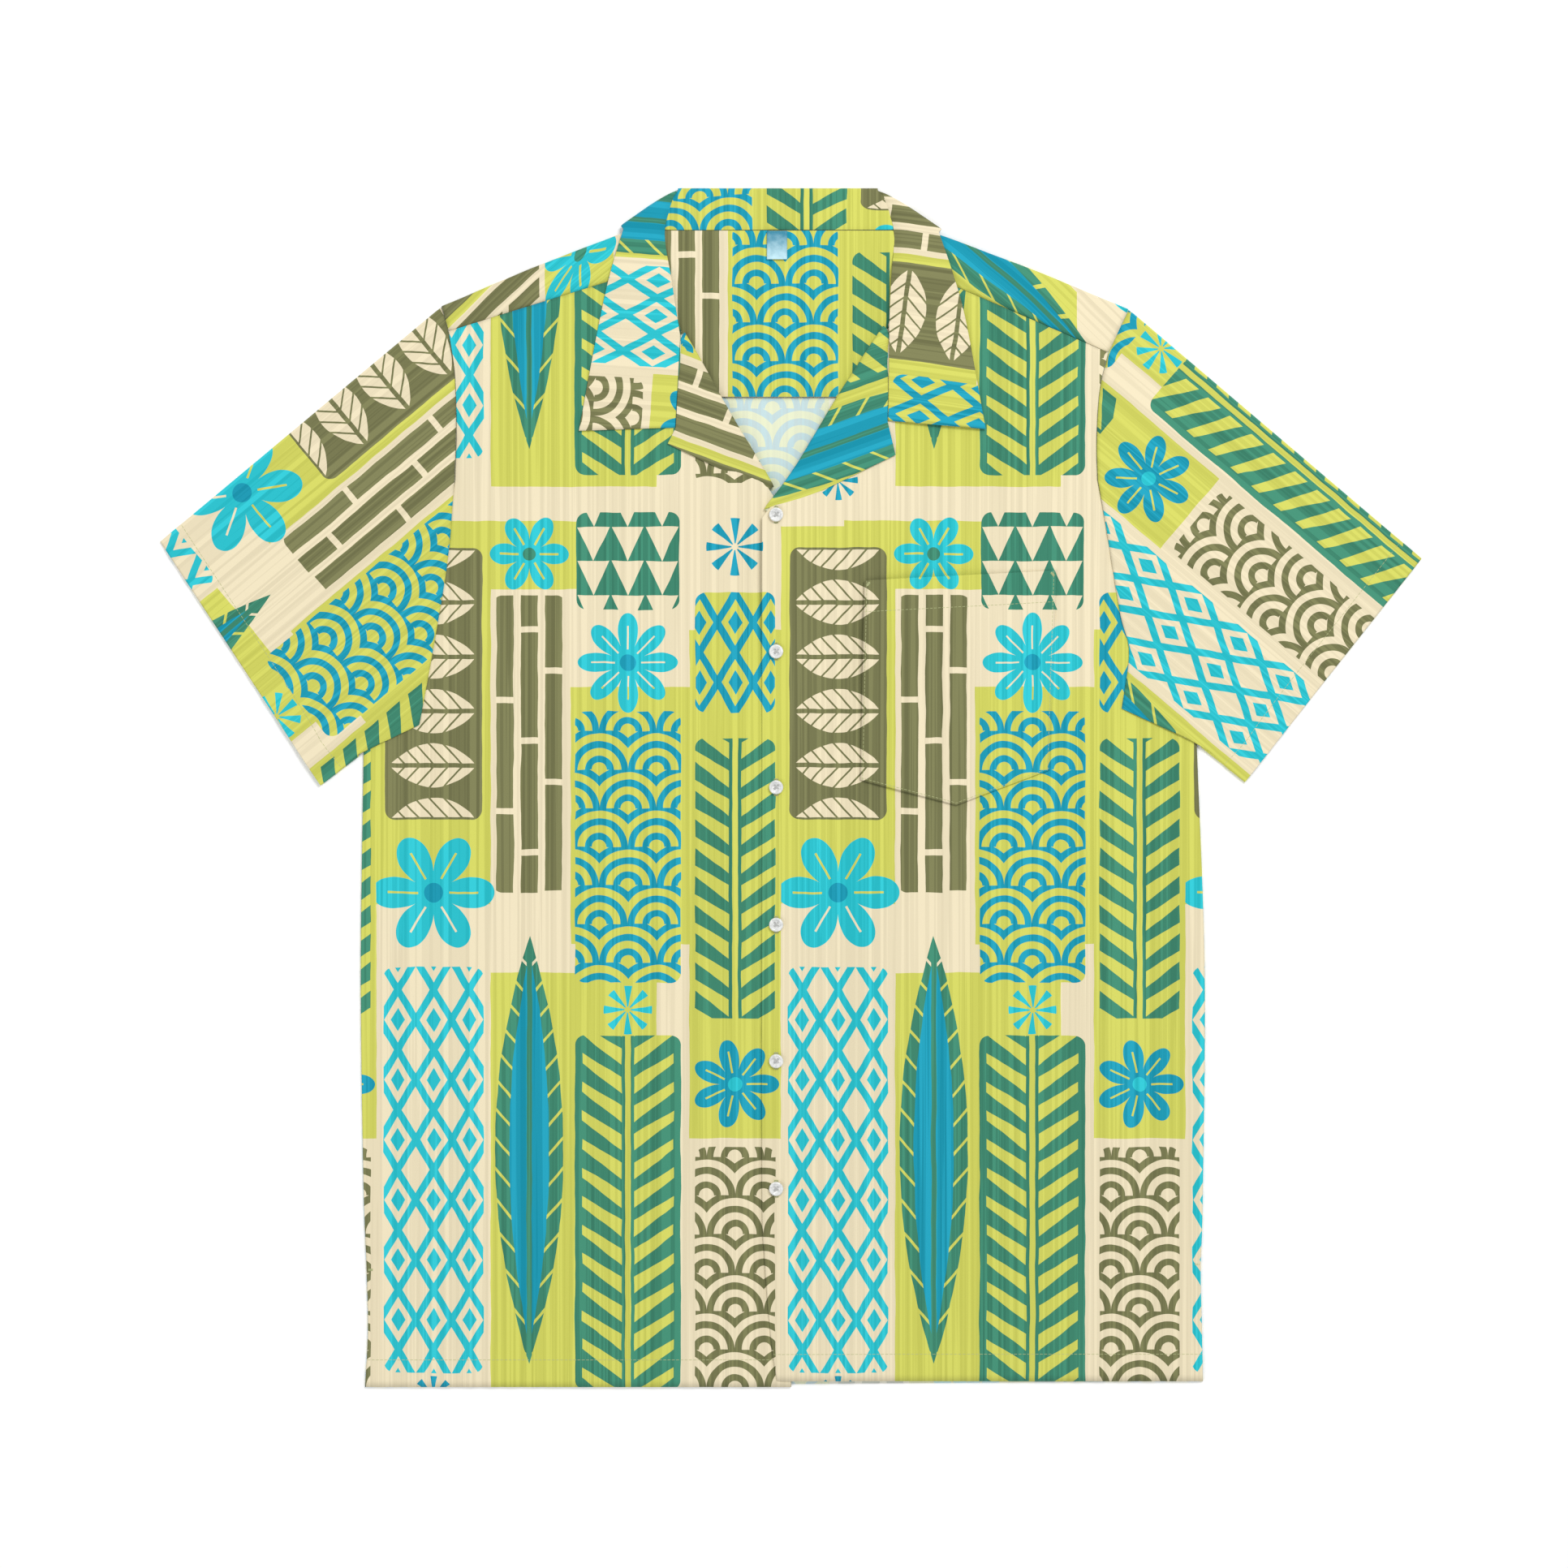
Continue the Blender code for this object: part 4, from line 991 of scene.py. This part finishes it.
def leaf(gorge, roll, edge, wrap_edge):
    """One leaf: from the gorge up the roll line to where it wraps round the neck."""
    flat = between(joined((gorge, 5), (roll, 7)), along(edge, finer(11)), leaf_stations)
    flat[-1] = wrap_edge
    height = collar_height(flat) + creases(flat, COLLAR_CREASES)
    height += turned_in(from_edge(flat, 1, far=True), 0.35) + turned_in(from_edge(flat, 0), 0.35)
    height += turned_in(from_edge(flat, 1), 0.8, 3.0)
    return laid(flat, height)


leaf_right = leaf(moved_in(GORGE_RIGHT, EDGE_GAP), LEAF_ROLL_RIGHT, LEAF_EDGE_RIGHT, fall_behind_flat[0])
leaf_left = leaf(moved_in(GORGE_LEFT, -EDGE_GAP), LEAF_ROLL_LEFT, LEAF_EDGE_LEFT, fall_behind_flat[-1])
wrap_right = fold(fall_behind[0], leaf_right[-1], outward_of(fall_behind[0], -1))
wrap_left = fold(fall_behind[-1], leaf_left[-1], outward_of(fall_behind[-1], 1))
collar_grid = np.concatenate([leaf_right, wrap_right[::-1], fall_behind, wrap_left, leaf_left[::-1]], axis=0)
leaf_rows = len(leaf_right) + len(wrap_right)
right_part = collar_grid[: leaf_rows + 1]
left_part = collar_grid[-leaf_rows - 1 :]
collar_sheets = [
    (right_part, turned_cut(right_part, -4.0, (-0.281, 0.310))),
    (fall_behind, fall_behind[..., :2] * (MM, -MM) + (0.10, 0.90)),
    (left_part, turned_cut(left_part, -8.0, (-0.300, 0.461))),
]
make_cloth(
    "collar_cloth", "collar_fall", collar_sheets,
    whole=collar_grid,
)

stand_flat = turned(between(along(STAND_SEAM, finer(13)), along(STAND_ROLL, finer(13)), stations(3, 0.02)))
stand_height = lie_of("collar_stand", soften=1)(stand_flat) + turned_in(from_edge(stand_flat, 0), 0.5, 1.6)
stand_over = laid(stand_flat, stand_height)
stand_foot = laid(stand_flat[-1:], np.full((1, stand_flat.shape[1]), SOLID_WALL / 2))[0]
stand_roll = fold(stand_over[-1], stand_foot, np.tile((0.0, 1.0, 0.0), (len(stand_foot), 1)))
stand_grid = np.concatenate([stand_over, stand_roll, stand_foot[None]], axis=0)
stand_cut = np.dstack([stand_grid[..., 0], arc_lengths(stand_grid, 0)]) * MM + (0.24, 0.40)
make_cloth("collar_stand_cloth", "collar_stand", [(stand_grid, stand_cut)])

# ----------------------------------------
# Sleeves. Open tubes lying flat, folded along the top and the underarm, whose front layer laps over the
# side of the body; their hems are turned up and stitched.

SLEEVE_HEM_RIGHT = [(-441.2, 171.2), (-330.0, 2.2)]
SLEEVE_HEM_LEFT = [(441.2, 159.4), (318.6, 4.4)]
SLEEVE_LAP_RIGHT = [(-235.0, 215.0), (-239.6, 158.9), (-249.8, 96.3), (-259.5, 43.4)]
SLEEVE_LAP_LEFT = [(214.4, 215.0), (220.8, 177.6), (229.9, 121.4), (236.2, 94.6), (231.1, 54.8)]
SLEEVE_UNDERARM_RIGHT = (-303.0, 22.6)
SLEEVE_UNDERARM_LEFT = (287.6, 29.0)
SLEEVE_ROWS = 11
SLEEVE_HEM_POINTS = 14

SLEEVE_CREASES = (
    # x, y, degrees, half-length, width, bend, rise
    (-330.0, 190.0, 34.0, 70.0, 9.0, 5.0, 0.6),
    (-310.0, 120.0, 24.0, 60.0, 8.0, -4.0, -0.45),
    (-275.0, 240.0, 48.0, 50.0, 7.0, 4.0, 0.5),
    (-372.0, 100.0, 40.0, 30.0, 5.0, 2.0, 0.4),
    (-332.0, 30.0, 55.0, 16.0, 2.4, 1.0, 0.45),
    (-322.0, 40.0, 62.0, 15.0, 2.4, 1.0, -0.35),
    (322.0, 180.0, 142.0, 70.0, 9.0, -5.0, 0.6),
    (300.0, 112.0, 152.0, 60.0, 8.0, 4.0, -0.45),
    (262.0, 236.0, 130.0, 50.0, 7.0, -4.0, 0.5),
    (362.0, 92.0, 138.0, 30.0, 5.0, 2.0, 0.4),
    (312.0, 34.0, 118.0, 15.0, 2.4, 1.0, 0.4),
)


def sleeve_tube(node, hem, shoulder_end, armhole_back, armhole, lap, underarm, side):
    """Both layers of a sleeve and the round folds that join them, from the hem (first row) inwards."""
    hem_points = along(hem, finer(SLEEVE_HEM_POINTS))
    rows = np.concatenate([np.array([0.0, 0.006, 0.014]), np.linspace(0.0, 1.0, finer(SLEEVE_ROWS))[2:]])
    back_inner = joined(([shoulder_end, armhole_back[-1]], 4), (armhole_back[::-1], 11))
    lap_edge = [lap[-1], ((lap[-1][0] + underarm[0]) / 2, (lap[-1][1] + underarm[1]) / 2), underarm]
    front_inner = joined(([shoulder_end, armhole[-1]], 2), (armhole[::-1], 6), (lap, 6), (lap_edge, 3))
    for inner in (back_inner, front_inner):
        inner[:, 0] += side * EDGE_GAP
        inner[-1] = underarm
    sleeve_back = turned(between(hem_points, back_inner, rows))
    back_layer = laid(sleeve_back, np.full(sleeve_back.shape[:2], SOLID_WALL / 2))
    front_flat = turned(between(hem_points, front_inner, rows))
    from_hem = from_edge(front_flat, 0)
    from_armhole = from_edge(front_flat, 0, far=True)
    around_arm = from_edge(front_flat, 1)
    height = lie_of(node)(front_flat) + creases(front_flat, SLEEVE_CREASES) + hemmed(from_hem)
    height += turned_in(from_armhole, 0.4) + puckers(from_armhole, around_arm, 0.3, 8.0, 2.0)
    height += puckers(from_hem, around_arm, 0.25, 10.0, 4.0)
    for far in (False, True):
        height += turned_in(from_edge(front_flat, 1, far), 0.7, 7.0)
    front_layer = laid(front_flat, height)
    outwards = []
    for outer, inner in ((-1, 0), (0, -1)):
        outward = outward_of(back_layer[:, outer], 1)
        outward *= np.sign(np.dot(outward[0], back_layer[0, outer] - back_layer[0, inner]))
        outwards.append(outward)
    low_fold = turned(fold(front_layer[:, -1], back_layer[:, -1], outwards[0]))
    high_fold = turned(fold(back_layer[:, 0], front_layer[:, 0], outwards[1]))
    around = [back_layer[:, ::-1], high_fold, front_layer, low_fold, back_layer[:, -1:]]
    return np.concatenate(around, axis=1)


def sleeve_cut(grid, offset):
    """Opened out along the top fold, where the streaks run: p = s and q = t in front, p = -s and q = t
    behind, by the distance s below the fold and t along it. The cut ends at the underarm seam."""
    front = slice(sleeve_layer + FOLD_STEPS, None)
    top = grid[:, front][:, 0, :2]
    run = (top[-1] - top[0]) / np.linalg.norm(top[-1] - top[0])
    below = np.array([-run[1], run[0]])
    below *= np.sign(np.dot(grid[0, 0, :2] - top[0], below))
    places = grid[..., :2] - top[0]
    aside = places @ below
    aside[:, : front.start] *= -1.0
    aside[:, -1] = aside[:, -2]
    return np.dstack([aside, places @ run]) * MM + offset


def sleeve_hem(name, grid):
    """Hem stitches on both layers of a sleeve."""
    front = slice(sleeve_layer + FOLD_STEPS, 2 * sleeve_layer + FOLD_STEPS)
    return sewn(name, [
        line_at(grid[:, front], 0, HEM_DEPTH), line_at(grid[:, :sleeve_layer], 0, HEM_DEPTH, lift=-WALL / 2)
    ])


sleeve_layer = finer(SLEEVE_HEM_POINTS)
for side, way, cut_offset, edges in (
    ("right", -1, (0.03, 0.30), (
        SLEEVE_HEM_RIGHT, SHOULDER_RIGHT[0], ARMHOLE_BACK_RIGHT, ARMHOLE_RIGHT, SLEEVE_LAP_RIGHT,
        SLEEVE_UNDERARM_RIGHT,
    )),
    ("left", 1, (0.17, 0.05), (
        SLEEVE_HEM_LEFT, SHOULDER_LEFT[0], ARMHOLE_BACK_LEFT, ARMHOLE_LEFT, SLEEVE_LAP_LEFT,
        SLEEVE_UNDERARM_LEFT,
    )),
):
    sleeve_grid = sleeve_tube(f"sleeve_{side}", *edges, way)
    cuff = sleeve_hem(f"{side}_sleeve_stitches", sleeve_grid)
    make_cloth(
        f"sleeve_{side}_cloth", f"sleeve_{side}", [(sleeve_grid, sleeve_cut(sleeve_grid, cut_offset))],
    )

# ----------------------------------------
# Pocket. One layer of the same cloth, stitched on the left front and cut so that its print carries on that
# of the front, with a turned-down hem, a pointed foot and a bartack at each top corner.

POCKET_BOTTOM = [(48.6, 4.8), (82.0, -4.0), (115.7, -12.8)]
POCKET_BOTTOM_LEFT = [(115.7, -12.8), (148.0, -0.6), (181.0, 11.7)]
POCKET_TOP = [(51.4, 144.1), (185.6, 151.5)]
POCKET_HEM = 22.0
POCKET_EDGE = 1.6

pocket_foot = joined((POCKET_BOTTOM, 5), (POCKET_BOTTOM_LEFT, 5))
pocket_flat = turned(between(pocket_foot, along(POCKET_TOP, finer(9)), stations(9, 0.006)))
pocket_height = lie_of("pocket")(pocket_flat) + creases(pocket_flat, FRONT_CREASES)
pocket_height -= 0.22 * np.exp(-((from_edge(pocket_flat, 0, far=True) - POCKET_HEM) / 1.5) ** 2)
for axis, far in ((0, False), (1, False), (1, True)):
    pocket_height += turned_in(from_edge(pocket_flat, axis, far), 0.4)
pocket_grid = laid(pocket_flat, pocket_height)
pocket_stitches = sewn("pocket_stitches", [
    line_at(pocket_grid, 0, POCKET_EDGE), line_at(pocket_grid, 1, POCKET_EDGE),
    line_at(pocket_grid, 1, POCKET_EDGE, far=True), line_at(pocket_grid, 0, POCKET_HEM, far=True),
], 2.8, 2.1)
pocket_tacks = bartacks("pocket_bartacks", pocket_grid, [(54.0, 141.6, 50.0), (183.0, 148.8, 130.0)])
make_cloth(
    "pocket_cloth", "pocket", [(pocket_grid, front_cut(pocket_grid))],
)

# ----------------------------------------
# Neck label. A short bare strip of satin ribbon, deep blue where it is sewn in at the neck seam and paler
# to its lower end, which hangs free and stands off the cloth a little.

LABEL_TOP = [(-16.8, 388.8), (-2.6, 388.8)]
LABEL_BOTTOM = [(-16.8, 368.8), (-2.6, 368.8)]


def satin_finish():
    """Blue at the seam fading to white at the end, with fine ribs across the ribbon."""
    finish = Finish("label_satin")
    place = finish.node("ShaderNodeTexCoord", {}, [], 3)
    height = finish.node("ShaderNodeSeparateXYZ", {}, [place], 1) * 1000.0
    cloudy = finish.node("ShaderNodeTexNoise", {}, {"Vector": place, "Scale": 260.0, "Detail": 2.0})
    share = finish.node("ShaderNodeClamp", {}, [(height - 369.0) / 19.0 + (cloudy - 0.5) * 0.7])
    finish.feed("Base Color", finish.blend(share, (0.50, 0.76, 0.85), (0.012, 0.22, 0.34)))
    ribs = (height * (2.0 * math.pi / 0.45)).sine()
    bump = finish.node("ShaderNodeBump", {}, {"Strength": 0.25, "Distance": 0.0001, "Height": ribs})
    finish.feed("Normal", bump)
    finish.fix({"Roughness": 0.38})
    return finish.material


label_flat = turned(between(along(LABEL_BOTTOM, finer(3)), along(LABEL_TOP, finer(3)), stations(4, 0.02)))
label_curl = 0.5 * np.exp(-(from_edge(label_flat, 0) / 5.0) ** 2)
label_grid = laid(label_flat, lie_of("neck_label", soften=1)(label_flat) + label_curl)
satin = satin_finish()
make_cloth(
    "label_ribbon", "neck_label", [(label_grid, label_grid[..., :2] * MM)],
    finishes=(satin, satin),
)

# ----------------------------------------
# Buttons. Pale pearly discs with a raised rim, a dished middle and four holes, sewn on with crossed grey
# thread, each over an upright buttonhole worked in satin stitch.

BUTTON_COUNT = 6
HOLE_RADIUS = 0.8
HOLE_SPREAD = 1.45
BUTTON_SIDES = 64
BUTTON_DISH = 1.45
BUTTONHOLE = 12.0
BUTTON_RADIUS = 5.0
BUTTON_PROFILE = (
    # radius and height of a 10 mm button, from the middle of its face round the rim to the middle of its back
    (0.02, 1.3), (0.5, 1.3), (0.8, 1.3), (1.1, 1.31), (1.4, 1.32), (1.7, 1.33), (2.0, 1.34), (2.3, 1.36),
    (2.6, 1.42), (2.9, 1.56), (3.2, 1.78), (3.5, 1.99), (3.8, 2.12), (4.1, 2.16), (4.4, 2.08), (4.7, 1.86),
    (4.92, 1.55), (BUTTON_RADIUS, 1.2), (4.92, 0.85), (4.6, 0.45), (4.0, 0.18), (3.2, 0.04), (2.0, 0.0),
    (1.0, 0.0), (0.02, 0.0),
)
GREY_THREAD = (0.60, 0.60, 0.58)


def pearl_finish():
    """Pale grey-white with slow cloudy bands, and a clear polish over it."""
    finish = Finish("button_pearl")
    place = finish.node("ShaderNodeTexCoord", {}, [], 3)
    bands = {"Vector": place, "Scale": 330.0, "Detail": 3.0, "Distortion": 1.2}
    cloud = finish.node("ShaderNodeTexNoise", {}, bands)
    share = finish.node("ShaderNodeClamp", {}, [(cloud - 0.35) * 2.6])
    finish.feed("Base Color", finish.blend(share, (0.62, 0.63, 0.62), (0.93, 0.93, 0.91)))
    finish.feed("Roughness", cloud * 0.2 + 0.16)
    finish.fix({"Coat Weight": 0.5, "Coat Roughness": 0.1})
    return finish.material


def make_button(name, centre, seat, width):
    """A turned disc: a profile of radius and height carried round, with its holes sunk by 1.1 / (1 + exp((r -
    hole) / 0.07)), where r is the distance to a hole's middle."""
    profile = np.array(BUTTON_PROFILE)
    angle = np.linspace(0.0, 2 * math.pi, BUTTON_SIDES, endpoint=False)
    reach = profile[:, 0, None] * (width / 2) / BUTTON_RADIUS
    x = reach * np.cos(angle)
    y = reach * np.sin(angle)
    z = np.repeat(profile[:, 1, None], BUTTON_SIDES, axis=1)
    for corner in range(4):
        turn = math.pi / 4 + corner * math.pi / 2
        away = np.hypot(x - HOLE_SPREAD * math.cos(turn), y - HOLE_SPREAD * math.sin(turn))
        sunk = 1.0 / (1.0 + np.exp(np.clip((away - HOLE_RADIUS) / 0.07, -40.0, 40.0)))
        z = np.where(z > 1.0, z - 1.1 * sunk, z)
    points = np.stack([x + centre[0], y + centre[1], z + seat], axis=-1).reshape(-1, 3) * MM
    index = np.arange(len(points)).reshape(-1, BUTTON_SIDES)
    following = np.roll(index, -1, axis=1)
    faces = np.stack([index[:-1], index[1:], following[1:], following[:-1]], axis=-1).reshape(-1, 4).tolist()
    faces += [index[0].tolist(), index[-1][::-1].tolist()]
    mesh = bpy.data.meshes.new(name)
    mesh.from_pydata(points.tolist(), [], faces)
    mesh.shade_smooth()
    mesh.materials.append(pearl)
    return placed(name, mesh)


def buttonhole(name, centre, surface):
    """Close satin stitches along both lips of an upright slit, and a bar across each end."""
    lip = np.arange(-0.5, 0.5, 0.036) * BUTTONHOLE
    lips = [np.column_stack([np.full(len(lip), beside), lip]) for beside in (-0.85, 0.85)]
    bars = [(step, end * BUTTONHOLE / 2) for end in (-1, 1) for step in (-0.45, 0.0, 0.45)]
    middles = np.vstack([*lips, bars]) + centre
    ways = np.tile((1.0, 0.0, 0.0), (len(middles), 1))
    height = surface(middles) + WALL / 2 + 0.05
    return thread_bars(name, np.column_stack([middles, height]), ways, 1.5, 0.36, thread)


def button_thread(name, centre, top):
    """Crossed threads from hole to hole over the middle of a button."""
    middles = []
    ways = []
    for turn in (math.pi / 4, 3 * math.pi / 4):
        way = np.array([math.cos(turn), math.sin(turn), 0.0])
        for step in (-0.22, 0.0, 0.22):
            middles.append((centre[0] - way[1] * step, centre[1] + way[0] * step, top + 0.1 * (turn > 1.0)))
            ways.append(way)
    return thread_bars(name, np.array(middles), np.array(ways), 3.0, 0.24, button_cotton)


pearl = pearl_finish()
button_cotton = thread_finish("grey_thread", GREY_THREAD)
for number in range(1, BUTTON_COUNT + 1):
    node = f"button_{number}"
    low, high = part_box(node)
    centre = ((low.x + high.x) / 2 / MM, (low.y + high.y) / 2 / MM)
    button = make_button(f"pearl_button_{number}", centre, low.z / MM, (high.x - low.x) / MM)
    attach(button, "root")
    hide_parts(node)
    button_thread(f"button_thread_{number}", centre, low.z / MM + BUTTON_DISH)
    buttonhole(f"buttonhole_{number}", centre, placket_height)
